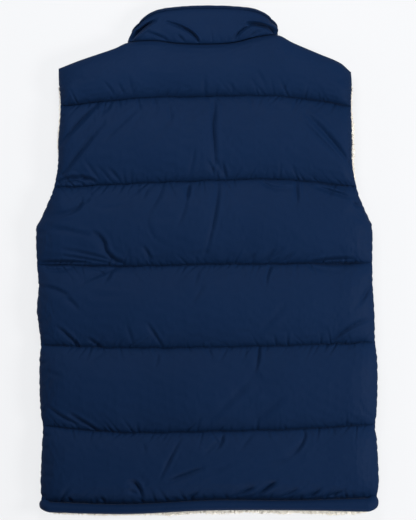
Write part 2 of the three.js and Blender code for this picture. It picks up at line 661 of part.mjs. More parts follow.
// The pull tab: a flat tongue with a ring round the slider's bridge. It points down the zip from its hinge.
function pullGeometry() {
  const { length, width, ring, bar, wall } = PULL;
  const [half, opening] = [width / 2, width / 2 - wall];
  const outline = new THREE.Shape()
    .moveTo(-half, bar / 2)
    .lineTo(-half, -length + half)
    .quadraticCurveTo(-half, -length, 0, -length)
    .quadraticCurveTo(half, -length, half, -length + half)
    .lineTo(half, bar / 2);
  const hole = new THREE.Path()
    .moveTo(-opening, -bar / 2)
    .lineTo(opening, -bar / 2)
    .lineTo(opening, -ring)
    .lineTo(-opening, -ring);
  outline.holes.push(hole);
  const tab = new THREE.ExtrudeGeometry(outline, { depth: bar, bevelEnabled: false, curveSegments: 5 });
  return tab.translate(0, 0, -bar / 2);
}

// Finishes
function material(color, roughness, metalness = 0) {
  return new THREE.MeshStandardMaterial({ color, roughness, metalness });
}
const shell = material(0x172a4b, 0.62);
const fleece = material(0xf2ecdf, 0.95);
const tape = material(0x131f38, 0.85);
const metal = material(0x2a3140, 0.4, 0.9);

const vest = new THREE.Group();
function add(name, geometry, finish, parent = vest) {
  const mesh = new THREE.Mesh(geometry, finish);
  mesh.name = name;
  parent.add(mesh);
  return mesh;
}

add("back", backGeometry(), shell);
add("front_left", frontGeometry(-1), shell);
add("front_right", frontGeometry(1), shell);
add("collar", collarGeometry(), shell);
add("collar_piping", pipingGeometry(), shell);
add("hem_band", hemBandGeometry(), shell);
add("lining_hem", hemLiningGeometry(), fleece);
ARMHOLE_LININGS.forEach((strip) => add(strip.name, armholeLiningGeometry(strip), fleece));
add("zip_left", zipGeometry(-1), tape);
add("zip_right", zipGeometry(1), tape);
add("zip_slider", sliderGeometry(), metal);
const hinge = new THREE.Group();
hinge.position.set(0, PULL_AXIS.y, PULL_AXIS.z);
vest.add(hinge);
add("zip_pull", pullGeometry(), metal, hinge);

// The origin is under the middle of the vest, on the surface that it lies on
const box = new THREE.Box3().setFromObject(vest);
vest.position.set(-(box.min.x + box.max.x) / 2, -(box.min.y + box.max.y) / 2, -box.min.z);

const part = new THREE.Group();
part.add(vest);
export default part;
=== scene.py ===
"""A child's quilted vest, laid flat on its zipped fronts with the back upwards."""

import math
import random

import bmesh
import bpy
import numpy as np
from mathutils import Matrix, Vector


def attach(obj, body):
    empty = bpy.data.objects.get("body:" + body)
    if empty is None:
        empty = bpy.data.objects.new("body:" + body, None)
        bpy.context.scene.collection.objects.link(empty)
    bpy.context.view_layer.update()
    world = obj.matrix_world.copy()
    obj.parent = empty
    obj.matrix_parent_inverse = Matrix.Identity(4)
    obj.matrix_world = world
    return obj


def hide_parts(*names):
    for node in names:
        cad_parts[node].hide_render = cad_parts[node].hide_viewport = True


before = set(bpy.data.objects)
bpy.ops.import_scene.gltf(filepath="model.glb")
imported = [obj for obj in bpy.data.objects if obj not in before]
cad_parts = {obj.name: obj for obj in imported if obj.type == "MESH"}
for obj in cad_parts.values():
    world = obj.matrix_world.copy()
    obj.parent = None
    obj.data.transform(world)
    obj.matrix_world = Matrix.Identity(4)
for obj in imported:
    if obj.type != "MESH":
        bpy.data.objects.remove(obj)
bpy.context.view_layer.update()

# Sizes in millimetres, as in the part's source: x from the zip, y from the hem, z from the surface below
TO_FRAME = np.array([0.120, -312.919, 0.0])
MILLIMETRE = 0.001
MERGED_BELOW = 1e-6  # metres
LAYER_HEIGHT = 15
BACK_VALLEY = 5.2
BACK_PUFF = 14
FRONT_GROOVE = 3.2
FRONT_RESTS = 0.7
SIDE_EDGE = 2.2
ARMHOLE_EDGE = 5.2
ARMHOLE_BOTTOM = 370
ARMHOLE_TOP = 542
SIDE_ROLL = 34
ARMHOLE_ROLL = 17
LEAST_WALL = 1.8
FRONT_OPENING = 5
FRONT_NECK = 530
NECK_LEFT = -100
NECK_RIGHT = 88
NECK_CURVE = 2.4
TIP_LEFT = -186
TIP_RIGHT = 178.4
LINING_HALF = 2
LINING_THIN = 0.5
LINING_DEPTH = 16
LINING_FADE = 26
LINING_ROOM = 2.3
PUFF_FLAT = 2.4
PUFF_FULL = 0.55
PUFF_FULL_AT_HEM = 0.62
ZIP_EDGE_HEIGHT = 4.2
ZIP_EDGE_WIDTH = 6
WANDER = 0.45
HEM_GATHERS = {"step": (7, 17), "depth": (0.6, 3.2), "wide": (1.2, 2.2)}

# Outline of the body: height, left edge, right edge
SIDES = (
    (-5, -207, 211.5),
    (21, -207.8, 211.8),
    (34, -208.6, 213.9),
    (60, -207.8, 213.2),
    (90, -206.4, 211.4),
    (105, -205.4, 209.2),
    (122, -208.2, 211),
    (150, -209.8, 212.3),
    (190, -209.8, 212),
    (209, -208.2, 209.4),
    (250, -213.2, 208.4),
    (281, -211, 206.4),
    (309, -213, 205.8),
    (355, -213.8, 205.6),
    (366, -208, 201.4),
    (389, -197.8, 190.9),
    (405, -191.6, 185.8),
    (433, -186.8, 180.6),
    (464, -186.2, 180.2),
    (507, -183.2, 179),
    (535, -185.6, 180),
    (556, -186, 178.4),
)

# Quilting lines at the left edge, left, middle, right and right edge
QUILTING = (
    (13, 10, 15, 15, 18),
    (106, 98, 99.4, 102, 108),
    (207.5, 203.8, 204.4, 207, 211),
    (308, 306, 308, 309, 310),
    (404, 409, 412.5, 414, 405),
    (506, 515, 518, 518, 506),
)
CHANNELS = len(QUILTING)
HEM_EDGE = (-1.2, -3.5, 0.9, 1.1, -0.9)

# Shoulders and back neck seam: place across, height
TOP_EDGE = (
    (-186, 552.8),
    (-159, 563.3),
    (-116, 578),
    (-100, 585),
    (-68, 587.5),
    (-38, 584),
    (0, 583),
    (33, 585),
    (62, 592),
    (88, 594.5),
    (106, 585.5),
    (139, 571.4),
    (166, 559.8),
    (178.4, 549),
)

# The collar from one end at the zip (-2) round the back (0) to the other (2): place, seam, rim, rim's height
COLLAR = (
    (-2, -5, -5, 574),
    (-1.7, -32, -31, 576),
    (-1.35, -70, -66, 582),
    (-1.12, -90, -86, 590),
    (-1, -94, -89.6, 597),
    (-0.85, -84, -83, 610.2),
    (-0.6, -62, -63.5, 622),
    (-0.3, -33, -34, 626.5),
    (0, -4, -4, 627.8),
    (0.3, 26, 27, 627.2),
    (0.6, 53, 57, 624),
    (0.85, 73, 76.4, 614.6),
    (1, 82, 81.7, 602.5),
    (1.12, 79, 76, 594),
    (1.35, 61, 58, 584),
    (1.7, 30, 29, 576),
    (2, 5, 5, 574),
)
COLLAR_HALF_WALL = 2.8
COLLAR_LOOP = 3.3
COLLAR_DROP = 3.5
COLLAR_TURN = (0.9, 1.1)
COLLAR_BACK_PUFF = 5.4
COLLAR_FRONT_PUFF = 5.5
COLLAR_PUFF_CURVE = 0.6
PIPING_RADIUS = 2.1
PIPING_LIFT = 0.9
PIPING_GAP = 0.2
PIPING_COLUMNS = 420

BAND_LOOP = 5.4
BAND_OUT = 9.3
BAND_IN = 2.5
BAND_LEFT = -195.9
BAND_RIGHT = 199.4
BAND_TURN = (0.97, 1.03)
BAND_ROUNDNESS = 0.74
BAND_ROUNDNESS_AT_SEAM = 1.15

# Creases of the back: three points, half width and depth
CREASES = (
    ((-134, 512), (-159, 486), (-187, 454), 2.3, 5.8),
    ((-121, 509), (-127, 502), (-132, 498), 2.0, 1.8),
    ((-82, 508), (-109, 482), (-128, 464), 2.2, 2.6),
    ((-130, 484), (-159, 448), (-187, 412), 2.2, 4.6),
    ((-48, 510), (-47, 499), (-46, 486), 2.0, 1.8),
    ((9, 513), (7, 474), (10, 432), 2.3, 4.8),
    ((9, 439), (7, 431), (6, 424), 2.0, 1.8),
    ((9, 439), (16, 428), (23, 416), 2.0, 1.8),
    ((-16, 455), (-19, 436), (-24, 416), 2.0, 1.8),
    ((122, 496), (156, 461), (183, 424), 2.6, 6.4),
    ((120, 484), (142, 463), (169, 435), 1.4, 3.4),
    ((-189, 409), (-165, 416.5), (-138, 411), 1.7, 7.5),
    ((-180, 409), (-170, 412), (-158, 410), 1.1, 4.5),
    ((-150, 411), (-157, 419), (-166, 424), 1.5, 2.4),
    ((-134, 412), (-143, 424), (-152, 436), 1.6, 3.0),
    ((-122, 413), (-131, 424), (-139, 431), 1.6, 2.6),
    ((-110, 413), (-117, 422), (-124, 428), 1.6, 2.2),
    ((-138, 426), (-133, 420), (-128, 414), 2.0, 1.8),
    ((-124, 426), (-118, 420), (-112, 414), 2.0, 1.8),
    ((-73, 405), (-77, 398), (-81, 389), 2.0, 1.8),
    ((-23, 408), (-24, 399), (-26, 389), 1.7, 5.2),
    ((-26, 389), (-31, 372), (-38, 355), 2.0, 1.8),
    ((66, 412), (84, 404), (106, 404), 1.6, 3.0),
    ((109, 414), (111, 400), (111, 386), 1.8, 3.4),
    ((137, 405), (158, 398), (181, 391), 1.7, 5.2),
    ((181, 386), (186, 382), (192, 380), 1.7, 5.2),
    ((13, 411), (9, 372), (-2, 324), 2.1, 3.8),
    ((-1, 326), (-3, 322), (-6, 320), 2.0, 1.8),
    ((-157, 391), (-165, 376), (-198, 368), 1.8, 4.6),
    ((-144, 348), (-133, 341), (-127, 329), 2.0, 5.2),
    ((-81, 330), (-75, 322), (-72, 313), 1.8, 3.6),
    ((-182, 327), (-149, 321), (-116, 311), 1.6, 3.4),
    ((-203, 356), (-172, 350), (-137, 341), 2.2, 3.0),
    ((131, 311), (156, 314), (181, 315), 1.7, 5.2),
    ((132, 310), (161, 309), (191, 309), 1.8, 3.4),
    ((-111, 304), (-132, 297), (-159, 285), 2.0, 4.2),
    ((-119, 300), (-123, 294), (-129, 287), 1.8, 3.4),
    ((-12, 301), (-14, 292), (-17, 282), 2.0, 1.8),
    ((-6, 282), (-12, 272), (-19, 261), 2.0, 1.8),
    ((-207, 280), (-190, 277), (-173, 269), 1.8, 5.0),
    ((-178, 265), (-170, 262), (-160, 251), 1.8, 3.4),
    ((-188, 230), (-174, 219), (-162, 205), 1.7, 5.2),
    ((-149, 216), (-141, 210), (-132, 204), 1.8, 3.4),
    ((-101, 232), (-97, 220), (-93, 208), 2.0, 1.8),
    ((-76, 235), (-66, 220), (-57, 205), 1.8, 3.4),
    ((122, 308), (144, 302), (168, 299), 2.0, 1.8),
    ((209, 291), (200, 276), (189, 260), 2.2, 7.0),
    ((206, 241), (176, 229), (153, 210), 1.9, 5.4),
    ((-128, 201), (-137, 194), (-147, 189), 2.0, 1.8),
    ((-62, 198), (-63, 189), (-66, 180), 2.0, 1.8),
    ((-206, 176), (-193, 172), (-181, 168), 2.0, 1.8),
    ((64, 205), (63, 191), (58, 174), 1.8, 3.4),
    ((59, 170), (28, 139), (-1, 110), 3.4, 2.6),
    ((-199, 130), (-181, 118), (-162, 108), 1.7, 5.2),
    ((-172, 122), (-156, 112), (-138, 101), 1.7, 5.2),
    ((-81, 86), (-79, 80), (-78, 74), 2.0, 1.8),
    ((-34, 91), (-47, 66), (-59, 42), 1.8, 3.4),
    ((18, 92), (7, 82), (-3, 74), 1.8, 3.4),
    ((-6, 55), (-28, 46), (-49, 39), 1.7, 5.2),
    ((19, 98), (16, 85), (6, 76), 1.8, 3.4),
    ((56, 98), (48, 88), (41, 79), 2.0, 1.8),
    ((122, 101), (115, 82), (99, 69), 1.8, 4.0),
    ((-97, 37), (-88, 33), (-82, 17), 2.0, 6.2),
    ((-99, 26), (-94, 25), (-88, 22), 1.8, 3.4),
    ((84, 37), (74, 30), (60, 20), 2.2, 6.4),
    ((58, 31), (48, 26), (36, 20), 2.0, 5.2),
    ((140, 28), (132, 22), (124, 18), 1.8, 4.4),
    ((168, 26), (159, 22), (149, 18), 1.8, 4.4),
    ((-12, 24), (-18, 19), (-24, 14), 1.8, 3.4),
    ((-174, 18), (-172, 14), (-169, 11), 1.8, 3.4),
    ((-134, 18), (-131, 14), (-128, 11), 1.8, 3.4),
    ((212, 74), (209, 66), (206, 58), 1.8, 3.4),
    ((-204, 303), (-188, 301), (-170, 304), 1.6, 3.6),
    ((112, 29), (104, 24), (94, 19), 1.7, 3.6),
    ((98, 68), (86, 62), (64, 60), 2.4, 2.2),
    ((30, 62), (10, 52), (-12, 50), 2.6, 1.8),
    ((-130, 334), (-122, 318), (-105, 309), 2.2, 6.0),
    ((-180, 319), (-154, 315), (-122, 309.5), 1.3, 3.2),
    ((-209, 310.5), (-180, 311), (-148, 310), 1.5, 4.5),
    ((-147, 391), (-151, 387), (-157, 383), 1.6, 2.4),
    ((-138, 379), (-118, 379), (-96, 385), 2.6, 1.6),
    ((-202, 351), (-190, 350), (-176, 350), 2.0, 2.2),
    ((1, 436), (5, 428), (7, 420), 1.5, 2.8),
    ((18, 436), (20, 428), (23, 416), 1.5, 2.8),
    ((83, 326), (77, 318), (70, 309), 1.6, 3.4),
    ((95, 328), (82, 318), (72, 310), 1.4, 2.6),
    ((60, 322), (54, 316), (47, 309), 1.5, 2.8),
    ((108, 322), (100, 316), (92, 310), 1.5, 2.8),
    ((81, 307), (75, 297), (73, 282), 1.5, 2.8),
    ((-55, 414), (-62, 392), (-76, 372), 2.4, 2.0),
    ((-72, 372), (-70, 346), (-47, 330), 2.8, 1.6),
    ((92, 141), (72, 124), (52, 108), 3.4, 2.6),
    ((98, 262), (80, 240), (62, 222), 3.4, 2.4),
    ((-40, 505), (-62, 470), (-96, 448), 3.0, 1.2),
    ((-4, 541), (-4, 529), (-3, 518), 2.0, 1.9),
    ((-98, 542), (-96, 530), (-92, 519), 2.2, 1.6),
    ((26, 534), (31, 527), (30, 519), 1.8, 1.6),
    ((60, 550), (66, 541), (72, 530), 2.2, 1.2),
    ((-129, 535), (-122, 527), (-117, 519), 1.6, 1.8),
    ((-112, 534), (-108, 527), (-104, 519), 1.6, 1.6),
    ((99, 537), (94, 528), (88, 519), 1.8, 1.6),
)

# Creases of the collar
COLLAR_CREASES = (
    ((-66, 612), (-80, 603), (-95, 589), 1.7, 9.8),
    ((-86, 600), (-90, 596), (-95, 588), 2.0, 5.0),
    ((-51, 610), (-22, 598), (-11, 583), 1.3, 7.5),
    ((-75, 597), (-62, 593), (-49, 586), 1.6, 3.0),
    ((-38, 594), (-33, 590), (-29, 585), 1.5, 2.4),
    ((49, 608), (65, 607), (80, 602), 1.6, 9.8),
    ((76, 603), (82, 599), (88, 593), 1.6, 8.5),
    ((56, 607), (43, 600), (32, 588), 1.5, 4.6),
    ((66, 600), (58, 596), (51, 589), 1.7, 2.6),
    ((-30, 612), (0, 606), (36, 611), 8.0, 0.8),
)


def mix(a, b, share):
    return a + (b - a) * share


def ease(share):
    held = np.clip(share, 0, 1)
    return held * held * (3 - 2 * held)


def round_off(distance, radius):
    rest = 1 - np.clip(distance / radius, 0, 1)
    return np.sqrt(1 - rest * rest)


def bell(distance, width):
    return np.exp(-((distance / width) ** 2))


def read_table(rows, column, at):
    """The value of a column where the first one is at, on a smooth curve through the rows."""
    table = np.array(rows, float)
    keys, values = table[:, 0], table[:, column]
    k = np.searchsorted(keys[1:-1], at, side="left")
    before, after = np.maximum(k - 1, 0), np.minimum(k + 2, len(keys) - 1)
    span = keys[k + 1] - keys[k]
    t = np.clip((at - keys[k]) / span, 0, 1)
    start = (values[k + 1] - values[before]) / (keys[k + 1] - keys[before]) * span
    end = (values[after] - values[k]) / (keys[after] - keys[k]) * span
    low = (1 + 2 * t) * (1 - t) ** 2 * values[k] + t * (1 - t) ** 2 * start
    return low + t * t * (3 - 2 * t) * values[k + 1] + t * t * (t - 1) * end


def read_line(line, across):
    rows = [(i / (len(line) - 1), y) for i, y in enumerate(line)]
    return read_table(rows, 1, np.clip(across, 0, 1))


def back_top(x):
    return read_table(TOP_EDGE, 1, x)


def front_top(x):
    """The front's upper edge: the back's shoulders with a deeper neck."""
    neck = np.where(x < 0, NECK_LEFT, NECK_RIGHT)
    curve = mix(FRONT_NECK, back_top(neck), np.abs(np.clip(x / neck, 0, 1)) ** NECK_CURVE)
    return np.where((x <= NECK_LEFT) | (x >= NECK_RIGHT), back_top(x), curve)


def side_at(side, y):
    return read_table(SIDES, 1 if side < 0 else 2, y)


def armhole_share(y):
    """1 along an armhole and 0 along a side seam and a shoulder."""
    return ease((y - ARMHOLE_BOTTOM) / 18) * ease((ARMHOLE_TOP - y) / 16)


def undulation(x, y, wavelength, seed, waves=7):
    """A soft uneven swell between about -1 and 1."""
    chance = random.Random(seed)
    total = np.zeros_like(x, float)
    for _ in range(waves):
        angle = chance.uniform(0, math.pi)
        length = wavelength * chance.uniform(0.7, 1.4)
        turn = 2 * math.pi / length
        phase = chance.uniform(0, 2 * math.pi)
        total += np.sin(turn * (x * math.cos(angle) + y * math.sin(angle)) + phase)
    return total / math.sqrt(waves)


# A small crease at a row of stitches: how far aside it counts, how it leans and fades, and its ridge
GATHER_SPAN = 36
GATHER_LEAN = 0.75
GATHER_LEAN_SCATTER = 0.4
GATHER_FADE = 1.2
GATHER_RIDGE = 0.3
PAST_SIDES = 215

# A crease: sizes across it are in its half widths
CREASE_SPAN = 9
CREASE_ENDS = (0.06, 0.94)
CREASE_SHARPNESS = 1.4
CREASE_SOFT_WIDTH = 4
CREASE_RIDGE = 0.3
CREASE_RIDGE_AT = 2.4
CREASE_RIDGE_WIDTH = 1.4


def gathers(x, away, low, high, seed, step=(4.0, 13.0), reach=(6, 26), depth=(0.5, 2.4), wide=(0.9, 1.6)):
    """Depth of the small creases that a row of stitches draws into the cloth beside it."""
    chance = random.Random(seed)
    total = np.zeros_like(x, float)
    at = low
    while at < high:
        at += chance.uniform(*step)
        length = mix(reach[0], reach[1], chance.random() ** 1.8)
        deep = mix(depth[0], depth[1], chance.random() ** 1.5)
        lean = GATHER_LEAN * math.sin(at / 47 + seed)
        slant = chance.gauss(lean, GATHER_LEAN_SCATTER)
        width = chance.uniform(*wide)
        near = (np.abs(x - at) < GATHER_SPAN) & (away < length)
        share = away[near] / length
        offset = (x[near] - at - slant * away[near]) / (width * (1 + share))
        fold = np.exp(-(offset**2)) - GATHER_RIDGE * bell(offset - 2, 1.2)
        total[near] += deep * (1 - share) ** GATHER_FADE * fold
    return total * ease(0.25 + away / 3)


def crease_line(points, steps=10):
    """Points along a smooth bend through three points."""
    a, b, c = (np.array(p, float) for p in points)
    t = np.linspace(0, 1, 2 * steps + 1)[:, None]
    control = 2 * b - (a + c) / 2
    return (1 - t) ** 2 * a + 2 * t * (1 - t) * control + t * t * c


def nearest_on_line(places, line):
    """How far places are from a line, on which side of it, and how far along it."""
    best = np.full(len(places), 1e9)
    signed = np.zeros(len(places))
    along = np.zeros(len(places))
    for k in range(len(line) - 1):
        run = line[k + 1] - line[k]
        from_start = places - line[k]
        share = np.clip(from_start @ run / (run @ run), 0, 1)
        gap = from_start - share[:, None] * run
        distance = np.hypot(gap[:, 0], gap[:, 1])
        closer = distance < best
        side = np.sign(run[0] * from_start[:, 1] - run[1] * from_start[:, 0])
        best = np.where(closer, distance, best)
        signed = np.where(closer, distance * side, signed)
        along = np.where(closer, (k + share) / (len(line) - 1), along)
    return best, signed, along


def crease_depth(x, y, creases, soft=0.28):
    """How deep the creases are at a place, with the low ridge that each pushes up beside it."""
    total = np.zeros_like(x, float)
    for first, middle, last, width, depth in creases:
        line = crease_line((first, middle, last))
        low, high = line.min(0) - CREASE_SPAN * width, line.max(0) + CREASE_SPAN * width
        near = (x > low[0]) & (x < high[0]) & (y > low[1]) & (y < high[1])
        if not near.any():
            continue
        away, signed, along = nearest_on_line(np.stack([x[near], y[near]], 1), line)
        fade = np.sin(math.pi * mix(*CREASE_ENDS, along)) ** 0.8
        valley = (1 - soft) * np.exp(-((away / width) ** CREASE_SHARPNESS))
        valley = valley + soft * bell(away, CREASE_SOFT_WIDTH * width)
        ridge = CREASE_RIDGE * bell(signed - CREASE_RIDGE_AT * width, CREASE_RIDGE_WIDTH * width)
        total[near] += depth * fade * (valley - ridge)
    return total


class Panel:
    """Places on a quilted panel.

    along counts channels from the hem, and across runs from one side edge to the other.
    """

    def __init__(self, along, top):
        self.along, self.top = along, top
        self.channel = np.minimum(np.floor(along).astype(int), CHANNELS - 1)
        self.share = along - self.channel
        zero = np.zeros_like(along)
        self.left = side_at(-1, self.height(zero, zero + TIP_LEFT))
        self.right = side_at(1, self.height(zero + 1, zero + TIP_RIGHT))

    def height(self, across, x):
        wander = [0] + [WANDER * undulation(x, 40.0 * k + 0 * x, 30, 60 + k) for k in range(1, CHANNELS)]
        lines = [read_line(line, across) + off for line, off in zip(QUILTING, wander)]
        lines = np.array([*lines, self.top(x)])
        place = np.arange(len(across))
        low, high = lines[self.channel, place], lines[self.channel + 1, place]
        self.deep = high - low
        return mix(low, high, self.share)

    def put(self, x):
        self.x = x
        self.across = (x - self.left) / (self.right - self.left)
        self.y = self.height(self.across, x)
        self.side = np.minimum(x - self.left, self.right - x)
        self.arm = armhole_share(self.y)
        hem = self.y - read_line(QUILTING[0], self.across)
        lined = np.maximum(1 - ease(hem / LINING_FADE), self.arm * (1 - ease(self.side / LINING_FADE)))
        self.room = LINING_ROOM * lined
        self.roll = round_off(self.side, mix(SIDE_ROLL, ARMHOLE_ROLL, self.arm))
        self.edge = mix(SIDE_EDGE, ARMHOLE_EDGE, self.arm)
        full = np.where((self.channel == 0) & (self.share < 0.5), PUFF_FULL_AT_HEM, PUFF_FULL)
        self.puff = (1 - np.abs(2 * self.share - 1) ** PUFF_FLAT) ** full
        self.above = self.share * self.deep
        self.below = (1 - self.share) * self.deep

    def gathered(self, seed):
        """The small creases on both sides of every quilting line."""
        total = np.zeros_like(self.x)
        for channel in range(CHANNELS):
            here = self.channel == channel
            x, first = self.x[here], seed + 2 * channel
            drawn = HEM_GATHERS if channel == 0 else {}
            total[here] += gathers(x, self.above[here], -PAST_SIDES, PAST_SIDES, first, **drawn)
            if channel < CHANNELS - 1:
                total[here] += gathers(x, self.below[here], -PAST_SIDES, PAST_SIDES, first + 1)
        return total


def grid_parameters(columns, rows):
    across, up = np.meshgrid(np.linspace(0, 1, columns + 1), np.linspace(0, 1, rows + 1))
    return across.ravel(), up.ravel()


def closer_at_ends(share, amount):
    """Shares that lie closer together near 0 and 1."""
    return mix(share, (1 - np.cos(math.pi * share)) / 2, amount)


def flat_grid(columns, rows):
    """A bmesh grid whose corners are in the order of grid_parameters."""
    bm = bmesh.new()
    bmesh.ops.create_grid(bm, x_segments=columns, y_segments=rows, size=0.5)

    def row_and_column(vert):
        return round((vert.co.y + 0.5) * rows), round((vert.co.x + 0.5) * columns)

    for index, vert in enumerate(sorted(bm.verts, key=row_and_column)):
        vert.index = index
    bm.verts.sort()
    return bm, list(bm.verts)


def metres(points):
    return (np.asarray(points, float) + TO_FRAME) * MILLIMETRE


def place_corners(verts, points):
    for vert, point in zip(verts, metres(points)):
        vert.co = point


def object_from(bm, name, material, smooth=True):
    """The finished piece of a bmesh: at the origin, unturned and unscaled."""
    mesh = bpy.data.meshes.new(name)
    if smooth:
        for face in bm.faces:
            face.smooth = True
    bm.to_mesh(mesh)
    bm.free()
    piece = bpy.data.objects.new(name, mesh)
    bpy.context.scene.collection.objects.link(piece)
    mesh.materials.append(material)
    return piece


def close_panel(bm, border_height):
    """Turns the rim of a panel's outer side down to its inner side and fills that."""
    rim = [edge for edge in bm.edges if edge.is_boundary]
    made = bmesh.ops.extrude_edge_only(bm, edges=rim)["geom"]
    turned = [item for item in made if isinstance(item, bmesh.types.BMVert)]
    for vert in turned:
        vert.co.z = border_height(vert.co) * MILLIMETRE
    edges = [item for item in made if isinstance(item, bmesh.types.BMEdge)]
    loop = [edge for edge in edges if edge.is_boundary]
    bmesh.ops.triangle_fill(bm, edges=loop, use_beauty=True)
    bmesh.ops.recalc_face_normals(bm, faces=bm.faces)


def close_wrapped(bm):
    """Joins the edges that meet where a grid goes round, closes its ends and turns its faces outwards."""
    bmesh.ops.remove_doubles(bm, verts=bm.verts, dist=MERGED_BELOW)
    bmesh.ops.holes_fill(bm, edges=[edge for edge in bm.edges if edge.is_boundary], sides=0)
    bmesh.ops.recalc_face_normals(bm, faces=bm.faces)


def wrapped_piece(name, material, columns, rows, points):
    """A closed piece whose surface is a grid of points that goes round and meets itself."""
    bm, verts = flat_grid(columns, rows)
    place_corners(verts, points)
    close_wrapped(bm)
    return object_from(bm, name, material)


def mesh_from(bm, name):
    mesh = bpy.data.meshes.new(name)
    bm.to_mesh(mesh)
    bm.free()
    return mesh


def copies(name, shapes, places, material, smooth=False):
    """One piece made of a copy of a small shape at each place, the shapes taken in turn."""
    bm = bmesh.new()
    for index, place in enumerate(places):
        copy = shapes[index % len(shapes)].copy()
        copy.transform(place)
        bm.from_mesh(copy)
        bpy.data.meshes.remove(copy)
    return object_from(bm, name, material, smooth)


# Finishes

SHADER_INPUTS = {
    "roughness": "Roughness",
    "metallic": "Metallic",
    "specular": "Specular IOR Level",
    "sheen": "Sheen Weight",
    "sheen_roughness": "Sheen Roughness",
}
WEAVE_PERIOD = 0.00055  # metres from one rib of the nylon to the next


def new_material(name):
    material = bpy.data.materials.new(name)
    material.use_nodes = True
    tree = material.node_tree
    shader = tree.nodes["Principled BSDF"]
    coordinates = tree.nodes.new("ShaderNodeTexCoord").outputs["Object"]
    return material, tree, shader, coordinates


def node(tree, kind, inputs=(), **values):
    """A node with its settings, and its inputs linked or set by name."""
    made = tree.nodes.new(kind)
    for name, value in values.items():
        setattr(made, name, value)
    for name, value in dict(inputs).items():
        if isinstance(value, bpy.types.NodeSocket):
            tree.links.new(value, made.inputs[name])
        else:
            made.inputs[name].default_value = value
    return made


def noise(tree, coordinates, scale, detail=3.0, roughness=0.55):
    inputs = {"Vector": coordinates, "Scale": scale, "Detail": detail, "Roughness": roughness}
    return node(tree, "ShaderNodeTexNoise", inputs).outputs["Fac"]


def threads(tree, coordinates, period, direction):
    """Fine parallel ribs, period in metres."""
    scale = 2 * math.pi / (20 * period)
    inputs = {"Vector": coordinates, "Scale": scale, "Distortion": 0.4, "Detail": 1.0}
    return node(tree, "ShaderNodeTexWave", inputs, bands_direction=direction).outputs["Fac"]


def uneven_colour(tree, shader, pattern, first, second):
    """A base colour that wanders between two tones."""
    made = node(tree, "ShaderNodeMix", data_type="RGBA")
    tree.links.new(pattern, made.inputs["Factor"])
    made.inputs["A"].default_value = (*first, 1)
    made.inputs["B"].default_value = (*second, 1)
    tree.links.new(made.outputs["Result"], shader.inputs["Base Color"])


def uneven_gloss(tree, shader, pattern, low, high):
    """A roughness that wanders between two values."""
    inputs = {"Value": pattern, "To Min": low, "To Max": high}
    made = node(tree, "ShaderNodeMapRange", inputs)
    tree.links.new(made.outputs["Result"], shader.inputs["Roughness"])


def bumped(tree, shader, layers):
    """Stacks relief layers, each a height, a depth in metres and a strength, on a shader."""
    normal = None
    for height, depth, strength in layers:
        inputs = {"Height": height, "Distance": depth, "Strength": strength}
        if normal is not None:
            inputs["Normal"] = normal
        normal = node(tree, "ShaderNodeBump", inputs).outputs["Normal"]
    tree.links.new(normal, shader.inputs["Normal"])


def settings(shader, **values):
    for name, value in values.items():
        shader.inputs[SHADER_INPUTS[name]].default_value = value


def shell_material():
    """Fine down-proof nylon: dark blue, tightly woven, with a soft sheen."""
    material, tree, shader, place = new_material("navy_nylon")
    tone = noise(tree, place, 11, 4)
    uneven_colour(tree, shader, tone, (0.0025, 0.0124, 0.0430), (0.0034, 0.0151, 0.0505))
    uneven_gloss(tree, shader, noise(tree, place, 60, 3), 0.56, 0.7)
    settings(shader, specular=0.05, sheen=0.03, sheen_roughness=0.35)
    weave = node(tree, "ShaderNodeMath", operation="ADD")
    for socket, direction in zip(weave.inputs, "XY"):
        tree.links.new(threads(tree, place, WEAVE_PERIOD, direction), socket)
    crinkle = noise(tree, place, 130, 5, 0.6)
    bumped(tree, shader, [(crinkle, 0.0012, 0.35), (weave.outputs[0], 0.00004, 0.5)])
    return material


def binding_material():
    """The same nylon, cut on the bias and rolled tight."""
    material, tree, shader, place = new_material("navy_binding")
    tone = noise(tree, place, 25, 3)
    uneven_colour(tree, shader, tone, (0.0022, 0.0098, 0.0330), (0.0029, 0.0118, 0.0385))
    settings(shader, roughness=0.6, specular=0.06)
    weave = threads(tree, place, 0.0006, "DIAGONAL")
    bumped(tree, shader, [(noise(tree, place, 220, 4), 0.0006, 0.4), (weave, 0.00005, 0.6)])
    return material


def thread_material():
    material, tree, shader, place = new_material("navy_thread")
    tone = noise(tree, place, 300, 2)
    uneven_colour(tree, shader, tone, (0.004, 0.014, 0.044), (0.006, 0.020, 0.058))
    settings(shader, roughness=0.5, specular=0.08)
    bumped(tree, shader, [(threads(tree, place, 0.0004, "DIAGONAL"), 0.0001, 0.5)])
    return material


def fleece_material():
    """Cream curly pile."""
    material, tree, shader, place = new_material("cream_fleece")
    tone = noise(tree, place, 90, 4)
    uneven_colour(tree, shader, tone, (0.84, 0.79, 0.69), (0.97, 0.94, 0.88))
    settings(shader, roughness=0.95, specular=0.15, sheen=0.3, sheen_roughness=0.6)
    bumped(tree, shader, [(noise(tree, place, 900, 4), 0.0008, 0.7)])
    return material


def tape_material():
    material, tree, shader, place = new_material("navy_zip_tape")
    tone = noise(tree, place, 120, 2)
    uneven_colour(tree, shader, tone, (0.0050, 0.0110, 0.0320), (0.0075, 0.0160, 0.0440))
    settings(shader, roughness=0.8, specular=0.2)
    bumped(tree, shader, [(threads(tree, place, 0.0007, "Y"), 0.00015, 0.7)])
    return material


def teeth_material():
    material, tree, shader, place = new_material("navy_moulded_teeth")
    tone = noise(tree, place, 200, 2)
    uneven_colour(tree, shader, tone, (0.0060, 0.0120, 0.0330), (0.0085, 0.0165, 0.0430))
    uneven_gloss(tree, shader, noise(tree, place, 700, 2), 0.3, 0.42)
    return material


